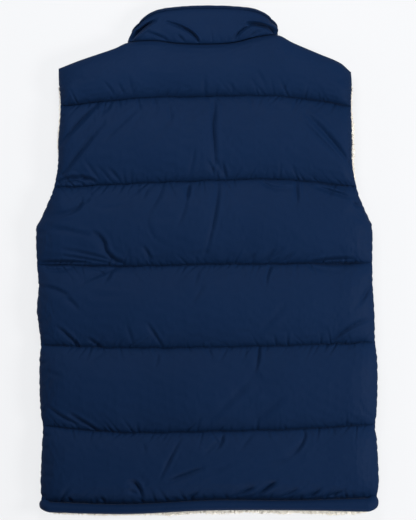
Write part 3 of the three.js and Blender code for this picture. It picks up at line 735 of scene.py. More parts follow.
def metal_material():
    """Dark blue enamel over cast zinc."""
    material, tree, shader, place = new_material("dark_enamel")
    tone = noise(tree, place, 150, 3)
    uneven_colour(tree, shader, tone, (0.018, 0.024, 0.040), (0.027, 0.036, 0.060))
    uneven_gloss(tree, shader, noise(tree, place, 500, 3), 0.28, 0.42)
    settings(shader, metallic=0.85)
    bumped(tree, shader, [(noise(tree, place, 1200, 2), 0.00005, 0.3)])
    return material


NYLON = shell_material()
BINDING = binding_material()
THREAD = thread_material()
FLEECE = fleece_material()
ZIP_TAPE = tape_material()
TEETH = teeth_material()
ENAMEL = metal_material()


# The back

BACK_COLUMNS = 380
BACK_CHANNEL_ROWS = 58
# Depth of the sharp groove along each quilting line, from the hem to the shoulders
STITCH_GROOVES = (1.8, 0.7, 0.7, 1.4, 0.6, 0, 0)
STITCH_GROOVE_WIDTH = 0.8
HEM_TUCK = 4.0
TUCKED_WALL = 0.3
ARMHOLE_STITCHED = 3.4
STITCHED_GATHERS = {"step": (3, 6), "reach": (3, 9), "depth": (0.8, 2.2)}
ROWS_CLOSER = 0.7
COLUMNS_CLOSER = 0.5


def panel_rows(up, rows_in_channel):
    """Where rows lie, counted in channels, closer together beside each quilting line."""
    along = np.round(up * CHANNELS * rows_in_channel) / rows_in_channel
    channel = np.minimum(np.floor(along), CHANNELS - 1)
    return channel + closer_at_ends(along - channel, ROWS_CLOSER)


def hem_of_armhole(panel):
    """The turned edge of an armhole: a rounded fold with a sunk row of stitches along it."""
    away = panel.side - ARMHOLE_STITCHED
    stitched = 0.8 * bell(away, 0.9)
    small = gathers(panel.y, np.abs(away), 370, 545, 71, **STITCHED_GATHERS)
    return panel.arm * (stitched + small * (panel.side < 14))


SEAM_GATHERS = {"step": (8, 16), "reach": (7, 22), "depth": (1.0, 3.4), "wide": (1.2, 2.2)}
ARMHOLE_GATHERS = {"step": (5, 10), "reach": (9, 16), "depth": (0.8, 2.4)}
SEAM_HEIGHTS = (-5, 380)
ARMHOLE_HEIGHTS = (365, 550)
SEAM_EASE = 0.3
SCALLOPED_AT = 3.0
SCALLOPING = 0.5
SCALLOPS_FADE = 8


def edge_gathers(panel, away):
    """Small creases that the side seams and the armhole edges draw into the cloth, that far from them."""
    total = np.zeros_like(panel.x)
    for side, here in ((1, panel.x < 0), (2, panel.x >= 0)):
        y, far = panel.y[here], away[here]
        seam = gathers(y, far, *SEAM_HEIGHTS, 500 + side, **SEAM_GATHERS)
        arm = gathers(y, far, *ARMHOLE_HEIGHTS, 505 + side, **ARMHOLE_GATHERS)
        total[here] = mix(seam, arm, panel.arm[here])
    return total


def scallops(panel):
    """How far the side seams and armhole edges are drawn in between one small crease and the next."""
    drawn = edge_gathers(panel, np.full_like(panel.x, SCALLOPED_AT))
    return (SCALLOPING * drawn - SEAM_EASE) * np.exp(-panel.side / SCALLOPS_FADE)


def back_surface(columns, channel_rows):
    across, up = grid_parameters(columns, channel_rows * CHANNELS)
    panel = Panel(panel_rows(up, channel_rows), back_top)
    panel.put(mix(panel.left, panel.right, closer_at_ends(across, COLUMNS_CLOSER)))
    return panel


SETTLING_COLUMNS = 210
SETTLING_CHANNEL_ROWS = 20
SETTLING_FRAMES = 20
MOST_SETTLING = 4.0
SPARE_CLOTH = 0.10
SPARE_REACH = 14
PRESSURE = 2.0


def vertex_weights(piece, name, weights):
    group = piece.vertex_groups.new(name=name)
    for index in np.flatnonzero(weights > 0.001):
        group.add([int(index)], float(weights[index]), "REPLACE")


def settle_cloth(piece, frames):
    """Runs the cloth for some frames and gives the places of its corners at the end."""
    cloth = piece.modifiers.new("settling", "CLOTH")
    made = cloth.settings
    made.quality = 7
    made.mass = 0.02
    made.air_damping = 3
    made.tension_stiffness = 12
    made.compression_stiffness = 12
    made.shear_stiffness = 3
    made.bending_stiffness = 0.02
    made.bending_model = "ANGULAR"
    made.vertex_group_mass = "held"
    made.vertex_group_shrink = "spare"
    made.shrink_min = 0.0
    made.shrink_max = -SPARE_CLOTH
    made.use_pressure = True
    made.uniform_pressure_force = PRESSURE
    made.effector_weights.gravity = 0
    cloth.point_cache.frame_start = 1
    cloth.point_cache.frame_end = frames
    scene = bpy.context.scene
    for frame_number in range(1, frames + 1):
        scene.frame_set(frame_number)
    settled = piece.evaluated_get(bpy.context.evaluated_depsgraph_get())
    places = np.zeros(3 * len(piece.data.vertices))
    settled.data.vertices.foreach_get("co", places)
    scene.frame_set(1)
    return places.reshape(-1, 3)


def settled_back():
    """How the back's outer cloth moves, in millimetres, when there is spare cloth beside its stitches."""
    panel = back_surface(SETTLING_COLUMNS, SETTLING_CHANNEL_ROWS)
    start = np.stack([panel.x, panel.y, back_height(panel)], 1)
    bm, verts = flat_grid(SETTLING_COLUMNS, SETTLING_CHANNEL_ROWS * CHANNELS)
    place_corners(verts, start)
    border = np.array([vert.is_boundary for vert in verts])
    piece = object_from(bm, "settling_cloth", NYLON)
    seam = np.minimum(panel.above, panel.below)
    vertex_weights(piece, "held", np.where(border | (seam < 0.01), 1.0, 0.0))
    vertex_weights(piece, "spare", bell(seam, SPARE_REACH) * panel.roll)
    places = settle_cloth(piece, SETTLING_FRAMES)
    bpy.data.objects.remove(piece)
    moved = places / MILLIMETRE - TO_FRAME - start
    far = np.linalg.norm(moved, axis=1)[:, None]
    moved *= np.minimum(1, MOST_SETTLING / np.maximum(far, 1e-9))
    return moved.reshape(SETTLING_CHANNEL_ROWS * CHANNELS + 1, SETTLING_COLUMNS + 1, 3)


def resampled(values, count):
    """Values along the first axis, on a smooth curve, at that many even places."""
    last = len(values) - 1
    at = np.linspace(0, last, count)
    k = np.minimum(np.floor(at).astype(int), last - 1)
    t = (at - k).reshape(-1, *([1] * (values.ndim - 1)))
    a, b = values[np.maximum(k - 1, 0)], values[k]
    c, d = values[k + 1], values[np.minimum(k + 2, last)]
    return b + t / 2 * (c - a + t * (2 * a - 5 * b + 4 * c - d + t * (3 * (b - c) + d - a)))


def back_height(panel):
    """Height of the back's outer cloth."""
    x, y = panel.x, panel.y
    swell = 0.5 * undulation(x, y, 90, 3) + 0.2 * undulation(x, y, 32, 4)
    seam = np.minimum(panel.above, panel.below)
    nearest = panel.channel + (panel.share > 0.5)
    line = np.array(STITCH_GROOVES)[nearest] * bell(seam, STITCH_GROOVE_WIDTH)
    quilted = (panel.gathered(100) - swell * panel.puff + line) * panel.roll
    quilted += crease_depth(x, y, CREASES) * ease(panel.side / 4)
    quilted += edge_gathers(panel, panel.side) * ease(panel.side / 3)
    full = BACK_VALLEY + BACK_PUFF * panel.puff - quilted - hem_of_armhole(panel)
    wall = mix(panel.edge, np.maximum(full, panel.room + LEAST_WALL), panel.roll)
    return LAYER_HEIGHT + np.maximum(wall, panel.room + LEAST_WALL)


def inner_height(sign):
    """Where the rim of a panel's inner side lies: away from the fleece along the armholes and the hem."""

    def height(place):
        x, y = (np.array([value / MILLIMETRE]) - shift for value, shift in zip(place[:2], TO_FRAME))
        left, right = side_at(-1, y), side_at(1, y)
        side = np.minimum(x - left, right - x)
        hem = y - read_line(QUILTING[0], (x - left) / (right - left))
        arm = armhole_share(y) * (1 - ease(side / LINING_FADE))
        lined = np.maximum(1 - ease(hem / LINING_FADE), arm)
        return float(LAYER_HEIGHT + sign * LINING_ROOM * lined[0])

    return height


def settling_on_fine_grid():
    moved = resampled(settled_back(), BACK_CHANNEL_ROWS * CHANNELS + 1)
    return resampled(moved.swapaxes(0, 1), BACK_COLUMNS + 1).swapaxes(0, 1).reshape(-1, 3)


def make_back():
    panel = back_surface(BACK_COLUMNS, BACK_CHANNEL_ROWS)
    bm, verts = flat_grid(BACK_COLUMNS, BACK_CHANNEL_ROWS * CHANNELS)
    points = np.stack([panel.x, panel.y, back_height(panel)], 1)
    points[:, 0] -= np.sign(panel.x) * scallops(panel)
    free = mix(1, ease((panel.side - 5) / 8), panel.arm)
    points += settling_on_fine_grid() * free[:, None]
    tucked = panel.along == 0
    points[tucked, 1] -= HEM_TUCK
    points[tucked, 2] = np.minimum(points[tucked, 2], LAYER_HEIGHT + LINING_ROOM + TUCKED_WALL)
    place_corners(verts, points)
    close_panel(bm, inner_height(1))
    piece = object_from(bm, "back_quilted", NYLON)
    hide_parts("back")
    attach(piece, "vest")


# The fronts

FRONT_COLUMNS = 130
FRONT_CHANNEL_ROWS = 22
FRONT_COLUMNS_CLOSER = 0.62
FRONT_GATHERING = 1.3
FRONT_ARMHOLE_HEM = 0.8


def front_height(panel, side):
    zip_side = np.abs(panel.x) - FRONT_OPENING
    groove = FRONT_GROOVE * (1 - panel.puff / FRONT_RESTS)
    rise = ZIP_EDGE_HEIGHT * (1 - round_off(zip_side, ZIP_EDGE_WIDTH))
    small = panel.gathered(300 + 20 * side) * np.clip(1 - panel.puff, 0, 1) * FRONT_GATHERING
    low = np.maximum(np.maximum(groove, rise), 0) + np.maximum(small, 0) * panel.roll
    low = mix(LAYER_HEIGHT - panel.edge, low, panel.roll)
    low = low + hem_of_armhole(panel) * FRONT_ARMHOLE_HEM
    return np.minimum(low, LAYER_HEIGHT - panel.room - LEAST_WALL)


def make_front(side, name, node_name):
    across, up = grid_parameters(FRONT_COLUMNS, FRONT_CHANNEL_ROWS * CHANNELS)
    panel = Panel(panel_rows(up, FRONT_CHANNEL_ROWS), front_top)
    outside = panel.left if side < 0 else panel.right
    panel.put(mix(outside, side * FRONT_OPENING, closer_at_ends(across, FRONT_COLUMNS_CLOSER)))
    bm, verts = flat_grid(FRONT_COLUMNS, FRONT_CHANNEL_ROWS * CHANNELS)
    points = np.stack([panel.x, panel.y, front_height(panel, side)], 1)
    points[:, 1] -= HEM_TUCK * (panel.along == 0)
    place_corners(verts, points)
    close_panel(bm, inner_height(-1))
    piece = object_from(bm, name, NYLON)
    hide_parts(node_name)
    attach(piece, "vest")


# The collar


def facing(at, turn):
    """The across and the upward part of the direction that a wrapped band faces."""
    angle = math.pi * np.clip((np.abs(at) - turn[0]) / (turn[1] - turn[0]), 0, 1)
    return np.sign(at) * np.sin(angle), np.cos(angle)


def collar_point(at, up, out):
    """Places on the collar, so far round (at), up from its seam and out from the middle of its wall."""
    face_x, face_z = facing(at, COLLAR_TURN)
    seam_x = read_table(COLLAR, 1, at) + face_x * (COLLAR_LOOP + out)
    seam_y = mix(back_top(seam_x), front_top(seam_x), ease(-2 * face_z))
    rim_x = read_table(COLLAR, 2, at) + face_x * (COLLAR_LOOP + out)
    rim_y = read_table(COLLAR, 3, at)
    z = LAYER_HEIGHT - COLLAR_DROP * up + face_z * (COLLAR_LOOP + out)
    return np.stack([mix(seam_x, rim_x, up), mix(seam_y, rim_y, up), z], -1)


def wrapped(share, turn, turn_shares):
    """Places along a band that wraps round both sides, closer together where it turns."""
    half = np.abs(2 * share - 1) / 2
    return np.sign(share - 0.5) * np.interp(half, [0, *turn_shares, 0.5], [0, *turn, 2])


COLLAR_COLUMNS = 560
COLLAR_ROUND = 70
COLLAR_REACH = 1.035
COLLAR_TURN_SHARES = (0.27, 0.43)
COLLAR_OUTSIDE = 0.62  # share of the way round that is outer cloth
COLLAR_DEEPEST = -1.8
COLLAR_GATHERS = {"step": (6, 14), "reach": (8, 20), "depth": (0.3, 1.0)}


def collar_relief(at, up):
    """How far the collar's outer cloth stands out from the middle of its wall."""
    _, face_z = facing(at, COLLAR_TURN)
    middle = collar_point(at, up, COLLAR_HALF_WALL)
    x, y = middle[:, 0], middle[:, 1]
    full = np.where(face_z > 0, COLLAR_BACK_PUFF, COLLAR_FRONT_PUFF) * face_z**2
    on_back = np.sqrt(np.clip(face_z, 0, 1))
    creased = crease_depth(x, y, COLLAR_CREASES, 0.12) * on_back
    creased += gathers(x, up * 40, -100, 100, 31, **COLLAR_GATHERS) * on_back
    swell = 0.5 * undulation(x, y, 40, 12)
    rounded = np.sin(math.pi * up) ** COLLAR_PUFF_CURVE
    inside = np.minimum(1, 2.5 * np.sin(math.pi * up))
    return COLLAR_HALF_WALL + (full + swell) * rounded - creased * inside


def make_collar():
    across, around = grid_parameters(COLLAR_COLUMNS, COLLAR_ROUND)
    at = wrapped(across, COLLAR_TURN, COLLAR_TURN_SHARES)
    outer = around < COLLAR_OUTSIDE
    up = np.where(outer, around / COLLAR_OUTSIDE, 1 - (around - COLLAR_OUTSIDE) / (1 - COLLAR_OUTSIDE))
    corner = np.sqrt(np.clip(1 - (2 * up - 1) ** 10, 0, 1))
    relief = np.maximum(collar_relief(at, up), COLLAR_DEEPEST)
    out = np.where(outer, relief, -COLLAR_HALF_WALL) * corner
    points = collar_point(at, up * COLLAR_REACH, out)
    piece = wrapped_piece("collar_band", NYLON, COLLAR_COLUMNS, COLLAR_ROUND, points)
    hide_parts("collar")
    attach(piece, "vest")


def tube(name, material, centres, first, second, radius, sides=12):
    """A closed tube round a line of centres, with its cross section spanned by two directions."""
    turn = np.linspace(0, 2 * math.pi, sides + 1)[:, None, None]
    points = centres[None] + radius * (np.cos(turn) * first[None] + np.sin(turn) * second[None])
    return wrapped_piece(name, material, len(centres) - 1, sides, points.reshape(-1, 3))


def make_piping():
    """The thin roll of binding along the collar's rim."""
    at = wrapped(np.linspace(0, 1, PIPING_COLUMNS), COLLAR_TURN, COLLAR_TURN_SHARES)
    rim, seam = collar_point(at, 1, 0), collar_point(at, 0, 0)
    rise = (rim - seam) * (1, 1, 0)
    rise /= np.linalg.norm(rise, axis=1)[:, None]
    face_x, face_z = facing(at, COLLAR_TURN)
    face = np.stack([face_x, 0 * face_x, face_z], 1)
    uneven = 0.1 * undulation(rim[:, 0] * 3, at * 90, 40, 8)[:, None]
    centres = rim + rise * (PIPING_RADIUS + PIPING_GAP + uneven) + face * PIPING_LIFT
    piece = tube("collar_roll", BINDING, centres, rise, face, PIPING_RADIUS)
    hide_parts("collar_piping")
    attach(piece, "vest")


# The hem band


def hem_at(x):
    left, right = side_at(-1, QUILTING[0][0]), side_at(1, QUILTING[0][-1])
    across = (x - left) / (right - left)
    return read_line(QUILTING[0], across), read_line(HEM_EDGE, across)


def band_x(at):
    end = np.where(at < 0, BAND_LEFT, BAND_RIGHT)
    on_back = np.clip(np.abs(at) / BAND_TURN[0], 0, 1)
    to_zip = np.clip((np.abs(at) - BAND_TURN[1]) / (2 - BAND_TURN[1]), 0, 1)
    across = mix((BAND_LEFT + BAND_RIGHT) / 2, end, on_back)
    return mix(across, np.sign(at) * FRONT_OPENING, to_zip)


BAND_COLUMNS = 900
BAND_ROUND = 22
BAND_TURN_SHARES = (0.24, 0.27)
BAND_BELOW_SEAM = 1.0
BAND_LIFT_AT_TURN = (5.1, 2.5)  # of its upper and its lower edge
BAND_GATHERS = {"step": (4, 8), "reach": (5, 14), "depth": (0.3, 1.0)}
BAND_FRONT_SHIFT = 400  # gives the half at the front creases of its own
BAND_FRONT_GATHERING = 0.4


def signed_power(value, power):
    return np.sign(value) * np.abs(value) ** power


def band_points(at, around):
    """Places on the band, so far along it from zip to zip and so far round its cross-section."""
    face_x, face_z = facing(at, BAND_TURN)
    x = band_x(at)
    high, low = hem_at(x)
    high = high - BAND_BELOW_SEAM + BAND_LIFT_AT_TURN[0] * face_x**2
    low = low + BAND_LIFT_AT_TURN[1] * face_x**2
    turn = 2 * math.pi * around
    roundness = np.where(np.cos(turn) > 0, BAND_ROUNDNESS_AT_SEAM, BAND_ROUNDNESS)
    upward = signed_power(np.cos(turn), roundness)
    outward = signed_power(np.sin(turn), roundness)
    near_seam = (1 - upward) * (high - low) / 2
    along = x + BAND_FRONT_SHIFT * (face_z < 0)
    small = gathers(along, near_seam, -210, 620, 55, **BAND_GATHERS)
    small = small * np.clip(outward, 0, 1) * np.where(face_z < 0, BAND_FRONT_GATHERING, 1)
    loop = BAND_LOOP + np.where(outward > 0, BAND_OUT - small, BAND_IN) * outward
    y = (high + low) / 2 + (high - low) / 2 * upward
    return np.stack([x + face_x * loop, y, LAYER_HEIGHT + face_z * loop], 1)


def make_hem_band():
    across, around = grid_parameters(BAND_COLUMNS, BAND_ROUND)
    points = band_points(wrapped(across, BAND_TURN, BAND_TURN_SHARES), around)
    piece = wrapped_piece("hem_channel", NYLON, BAND_COLUMNS, BAND_ROUND, points)
    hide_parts("hem_band")
    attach(piece, "vest")


# The fleece


def lining_half(inward, outward):
    thin = mix(LINING_HALF, LINING_THIN, ease(inward / LINING_DEPTH))
    return thin * np.sqrt(np.maximum(1 - outward**4, 0.02))


def pile(x, y, z, seed):
    """Clumps of curly pile."""
    clumps = undulation(x + 0.7 * z, y - 0.6 * z, 5.2, seed)
    clumps = clumps + 0.5 * undulation(x - z, y + z, 2.4, seed + 1)
    return PILE_HEIGHT * clumps


def lining_solid(name, material, columns, surface):
    """A thin strip of fleece. surface gives the points of one side (1 or -1) of it."""
    share = np.linspace(0, 1, columns + 1)
    upper = [surface(share, step, 1) for step in FLEECE_STEPS]
    lower = [surface(share, step, -1) for step in reversed(FLEECE_STEPS)]
    points = np.concatenate(upper + lower + upper[:1])
    return wrapped_piece(name, material, columns, 2 * len(FLEECE_STEPS), points)


PILE_HEIGHT = 0.35
FLEECE_LEFT = -195.5
FLEECE_RIGHT = 199.5
FLEECE_SHOWS_FROM = -85
FLEECE_SHOWN_AT_ENDS = 0.5
FLEECE_SHOWN_LEFT = 1.1
FLEECE_SHOWN_RIGHT = 2.8  # more than at the left
FLEECE_UNEVEN = 0.8
ARMHOLE_FLEECE = (385, 530)  # its two ends along the armhole


def end_taper(share, reach):
    """Thins a strip of fleece towards both of its ends."""
    return 0.15 + 0.85 * ease(np.minimum(share, 1 - share) / reach)


def hem_fleece_surface(share, step, way):
    x = mix(FLEECE_LEFT, FLEECE_RIGHT, share)
    high, low = hem_at(x)
    uneven = FLEECE_SHOWN_RIGHT + FLEECE_UNEVEN * (np.sin(x / 11) + 0.6 * np.sin(x / 4.7))
    shown = FLEECE_SHOWN_LEFT + uneven * ease((x - FLEECE_SHOWS_FROM) / 50)
    from_end = np.minimum(x - FLEECE_LEFT, FLEECE_RIGHT - x)
    shown = mix(FLEECE_SHOWN_AT_ENDS, shown, ease(from_end / 20))
    y = low + shown * step if step < 0 else mix(low, high + LINING_DEPTH, step)
    half = lining_half(y - high, max(-step, 0)) * end_taper(share, 0.02)
    z = LAYER_HEIGHT + way * half
    outside = ease(-step * 3 + 0.2)
    lump = pile(x, y, z, 21) * outside
    return np.stack([x, y - 0.6 * lump - 0.3 * outside, z + way * lump], 1)


def armhole_fleece_surface(side, show, bulge, start, end, tucked_below):
    """The surface of one armhole's strip, which shows most between start and end."""

    def surface(share, step, way):
        y = mix(*ARMHOLE_FLEECE, share)
        swell = ease((y - start) / 25) * ease((end - y) / 25)
        shown = show + bulge * swell * (0.75 + 0.25 * np.sin(y / 5))
        tucked = 2.2 * (1 - ease((y - tucked_below) / 30))
        x = side_at(side, y) - side * (tucked + step * (shown if step < 0 else LINING_DEPTH))
        half = lining_half(step * LINING_DEPTH, max(-step, 0)) * end_taper(share, 0.08)
        z = LAYER_HEIGHT + way * half * armhole_share(y)
        lump = pile(x, y, z, 41) * ease(-step * 3 + 0.2) * ease(np.minimum(share, 1 - share) * 12)
        return np.stack([x + side * 0.5 * lump, y, z + way * 0.8 * lump], 1)

    return surface


# From the strip's inner edge (1) over the shell's edge (0) to the edge that shows (-1)
FLEECE_STEPS = (1, 0.8, 0.55, 0.3, 0.1, 0, -0.15, -0.3, -0.45, -0.6, -0.72, -0.83, -0.92, -1)
HEM_FLEECE_COLUMNS = 520
ARMHOLE_FLEECE_COLUMNS = 160
FLEECE_AT_LEFT = armhole_fleece_surface(-1, show=0.4, bulge=1.6, start=480, end=525, tucked_below=430)
FLEECE_AT_RIGHT = armhole_fleece_surface(1, show=0.6, bulge=3, start=405, end=505, tucked_below=405)


def make_fleece():
    hem = lining_solid("fleece_hem", FLEECE, HEM_FLEECE_COLUMNS, hem_fleece_surface)
    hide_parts("lining_hem")
    left = lining_solid("fleece_armhole_left", FLEECE, ARMHOLE_FLEECE_COLUMNS, FLEECE_AT_LEFT)
    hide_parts("lining_armhole_left")
    right = lining_solid("fleece_armhole_right", FLEECE, ARMHOLE_FLEECE_COLUMNS, FLEECE_AT_RIGHT)
    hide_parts("lining_armhole_right")
    for piece, flat in ((hem, (0.395, 0.032)), (left, (0.021, 0.148)), (right, (0.022, 0.148))):
        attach(piece, "vest")


# Locks of pile: pairs are the least and the most of a size
LOCK_TURNS = (0.8, 1.5)
LOCK_WIDTH = (0.8, 1.3)
LOCK_LENGTH = (1.1, 2.2)
LOCK_THREAD = 0.6
LOCK_STEPS = 9
LOCK_SHAPES = 6
LOCKS_AT_HEM = 1250
LOCKS_AT_LEFT = 260
LOCKS_AT_RIGHT = 360
LOCK_SUNK = 0.0006  # metres
LOCK_SCATTER = 0.35


def curl_shape(chance):
    """One lock of pile: a short thread wound into a loose coil."""
    turns = chance.uniform(*LOCK_TURNS)
    coil = chance.uniform(*LOCK_WIDTH) * MILLIMETRE
    long = chance.uniform(*LOCK_LENGTH) * MILLIMETRE
    bm = bmesh.new()
    bmesh.ops.create_grid(bm, x_segments=LOCK_STEPS, y_segments=4, size=0.5)
    for vert in bm.verts:
        along, round_ = vert.co.x + 0.5, (vert.co.y + 0.5) * 2 * math.pi
        turn = 2 * math.pi * turns * along
        radius = LOCK_THREAD * MILLIMETRE * (1 - 0.55 * along)
        reach = coil * (1 - 0.35 * along) + radius * math.cos(round_)
        vert.co = (reach * math.cos(turn), reach * math.sin(turn), long * along + radius * math.sin(round_))
    close_wrapped(bm)
    return mesh_from(bm, "curl")


def curl_places(surface, count, chance, outward):
    """Places on the part of a fleece strip that shows, each lock leaning away from the strip."""
    places = []
    for _ in range(count):
        share, step, way = chance.random(), -chance.uniform(0.05, 1), chance.choice((-1, 1))
        spot = Vector(metres(surface(np.array([share]), step, way)[0]))
        out = Vector(outward) * (0.3 + abs(step)) + Vector((0, 0, way * (1.1 + step)))
        out += Vector([chance.gauss(0, LOCK_SCATTER) for _ in range(3)])
        turn = out.to_track_quat("Z", "Y").to_matrix().to_4x4()
        spin = Matrix.Rotation(chance.uniform(0, 2 * math.pi), 4, "Z")
        places.append(Matrix.Translation(spot - out.normalized() * LOCK_SUNK) @ turn @ spin)
    return places


def make_curls():
    chance = random.Random(17)
    shapes = [curl_shape(chance) for _ in range(LOCK_SHAPES)]
    places = curl_places(hem_fleece_surface, LOCKS_AT_HEM, chance, (0, -1, 0))
    places += curl_places(FLEECE_AT_LEFT, LOCKS_AT_LEFT, chance, (-1, 0, 0))
    places += curl_places(FLEECE_AT_RIGHT, LOCKS_AT_RIGHT, chance, (1, 0, 0))
    curls = copies("fleece_curls", shapes, places, FLEECE, smooth=True)
    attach(curls, "vest")


# The zip

ZIP_LEVEL = 5.6
ZIP_BOTTOM = 4
TAPE_LENGTH = 564.5
TAPE_WIDTH = 3.6
TAPE_THICKNESS = 1.2
TAPE_MIDDLE = 2.85
TEETH_FROM = 6
TEETH_LENGTH = 551
TOOTH_PITCH = 1.7
TOOTH_MIDDLE = 0.95
TOOTH_SIZE = (2.1, 1.25, 2.5)
ROUNDED_ABOVE = math.radians(40)


def bevel_edges(bm, edges, width, segments):
    bmesh.ops.bevel(
        bm,
        geom=edges,
        offset=width,
        offset_type="OFFSET",
        segments=segments,
        profile=0.5,
        affect="EDGES",
        material=-1,
    )


def merged_copy(node_name, name, material, bevel):
    """A copy of a CAD node with its loose triangles merged and its edges rounded."""
    bm = bmesh.new()
    bm.from_mesh(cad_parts[node_name].data)
    bmesh.ops.remove_doubles(bm, verts=bm.verts, dist=MERGED_BELOW)
    bmesh.ops.dissolve_limit(bm, angle_limit=math.radians(1), verts=bm.verts, edges=bm.edges)
    piece = object_from(bm, name, material, smooth=False)
    rounding = piece.modifiers.new("rounded_edges", "BEVEL")
    rounding.width = bevel * MILLIMETRE
    rounding.segments = 2
    rounding.limit_method = "ANGLE"
    rounding.angle_limit = ROUNDED_ABOVE
    return piece


def make_tapes():
    for side, name, node_name in ((-1, "zip_tape_left", "zip_left"), (1, "zip_tape_right", "zip_right")):
        bm = bmesh.new()
        bmesh.ops.create_cube(bm, size=1)
        bmesh.ops.scale(bm, vec=(TAPE_WIDTH, TAPE_LENGTH, TAPE_THICKNESS), verts=bm.verts)
        lengthways = [e for e in bm.edges if abs(e.verts[0].co.y - e.verts[1].co.y) > 1]
        bevel_edges(bm, lengthways, 0.3, 2)
        middle = metres([side * TAPE_MIDDLE, ZIP_BOTTOM + TAPE_LENGTH / 2, ZIP_LEVEL])
        bmesh.ops.scale(bm, vec=(MILLIMETRE,) * 3, verts=bm.verts)
        bmesh.ops.translate(bm, vec=Vector(middle), verts=bm.verts)
        tape = object_from(bm, name, ZIP_TAPE, smooth=False)
        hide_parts(node_name)
        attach(tape, "vest")


def tooth_shape():
    """One moulded tooth, its head towards the other half of the zip."""
    bm = bmesh.new()
    bmesh.ops.create_cube(bm, size=1)
    bmesh.ops.scale(bm, vec=[size * MILLIMETRE for size in TOOTH_SIZE], verts=bm.verts)
    head = [v for v in bm.verts if v.co.x < 0]
    bmesh.ops.scale(bm, vec=(1, 0.8, 0.8), verts=head)
    bevel_edges(bm, bm.edges, 0.22 * MILLIMETRE, 1)
    return mesh_from(bm, "tooth")


def make_teeth():
    places = []
    for k in range(int(TEETH_LENGTH / TOOTH_PITCH)):
        side = 1 if k % 2 else -1
        place = metres([side * TOOTH_MIDDLE, TEETH_FROM + k * TOOTH_PITCH, ZIP_LEVEL])
        places.append(Matrix.Translation(place) @ Matrix.Rotation(0 if side > 0 else math.pi, 4, "Z"))
    teeth = copies("zip_teeth", [tooth_shape()], places, TEETH)
    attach(teeth, "vest")


def make_slider():
    slider = merged_copy("zip_slider", "slider_body", ENAMEL, 0.25)
    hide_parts("zip_slider")
    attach(slider, "vest")
    pull = merged_copy("zip_pull", "pull_tab", ENAMEL, 0.22)
    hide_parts("zip_pull")
    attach(pull, "pull")


# Stitches

STITCH_LENGTH = 2.5 * MILLIMETRE
STITCH_RADIUS = 0.32 * MILLIMETRE
STITCH_PITCH = 3.2 * MILLIMETRE
STITCH_MARGIN = 1.5
STITCH_LIFT = 0.15
ARMHOLE_STITCH_LIFT = 0.25
ARMHOLE_STITCHES = (3.65, 5.7)  # the channels between which the armholes are stitched
LINE_POINTS = 400
ARMHOLE_POINTS = 300


def stitch_shape(length, radius):
    """One stitch: a short thread that dives into the cloth at both ends."""
    bm = bmesh.new()
    lying = Matrix.Rotation(math.pi / 2, 4, "Y")
    bmesh.ops.create_cone(
        bm, cap_ends=True, segments=6, radius1=radius, radius2=radius, depth=length, matrix=lying
    )
    ends = [v for v in bm.verts if abs(v.co.x) > length * 0.4]
    everything = bm.verts[:] + bm.edges[:] + bm.faces[:]
    bmesh.ops.bisect_plane(bm, geom=everything, plane_co=(0, 0, 0), plane_no=(1, 0, 0))
    bmesh.ops.scale(bm, vec=(1, 0.55, 0.55), verts=ends)
    bmesh.ops.translate(bm, vec=(0, 0, -0.7 * radius), verts=ends)
    return mesh_from(bm, "stitch")


def stitch_row(points, pitch):
    """Places of stitches along a line of points in metres: position and direction."""
    gaps = np.linalg.norm(np.diff(points, axis=0), axis=1)
    run = np.concatenate([[0], np.cumsum(gaps)])
    count = max(int(run[-1] / pitch), 1)
    at = (np.arange(count) + 0.5) * run[-1] / count
    middle = np.stack([np.interp(at, run, points[:, k]) for k in range(3)], 1)
    ahead = np.stack([np.interp(at + 1e-4, run, points[:, k]) for k in range(3)], 1)
    return list(zip(middle, ahead - middle))


def stitch_places(points, upward, chance):
    """Places of the stitches along a line of points on the cloth, in millimetres."""
    places = []
    for middle, direction in stitch_row(metres(points), STITCH_PITCH):
        along = Vector(direction).normalized()
        lift = Vector((0, 0, upward))
        across = lift.cross(along).normalized()
        lift = along.cross(across)
        turn = Matrix((along, across, lift)).transposed().to_4x4()
        wobble = Matrix.Rotation(chance.gauss(0, 0.05), 4, "Z")
        places.append(Matrix.Translation(middle) @ turn @ wobble)
    return places


def seam_points(top, line, height, first=None, last=None):
    """Points along one quilting line of a panel, from one place across it to another."""
    panel = Panel(np.full(LINE_POINTS, float(line)), top)
    first = panel.left + STITCH_MARGIN if first is None else first
    last = panel.right - STITCH_MARGIN if last is None else last
    panel.put(mix(first, last, np.linspace(0, 1, LINE_POINTS)))
    return np.stack([panel.x, panel.y, height(panel)], 1)


def armhole_points(side):
    """Points along the row of stitches beside one armhole of the back."""
    panel = Panel(np.linspace(*ARMHOLE_STITCHES, ARMHOLE_POINTS), back_top)
    panel.put(panel.left + ARMHOLE_STITCHED if side < 0 else panel.right - ARMHOLE_STITCHED)
    return np.stack([panel.x, panel.y, back_height(panel) + ARMHOLE_STITCH_LIFT], 1)


def make_stitches():
    chance = random.Random(9)
    shape = stitch_shape(STITCH_LENGTH, STITCH_RADIUS)
    places = []
    for line in range(1, CHANNELS):
        points = seam_points(back_top, line, lambda panel: back_height(panel) + STITCH_LIFT)
        places += stitch_places(points, 1, chance)
    for side in (-1, 1):
        places += stitch_places(armhole_points(side), 1, chance)
    back = copies("back_stitches", [shape], places, THREAD, smooth=True)
    places = []
    beside_zip = FRONT_OPENING + 1
    for side, first, last in ((-1, None, -beside_zip), (1, beside_zip, None)):
        for line in range(1, CHANNELS):
            points = seam_points(
                front_top, line, lambda panel: front_height(panel, side) - STITCH_LIFT, first, last
            )
            places += stitch_places(points, -1, chance)
    front = copies("front_stitches", [shape], places, THREAD, smooth=True)
    for piece in (back, front):
        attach(piece, "vest")


# Surroundings

FLOOR_HALF = 6
FLOOR_BELOW = 0.0006

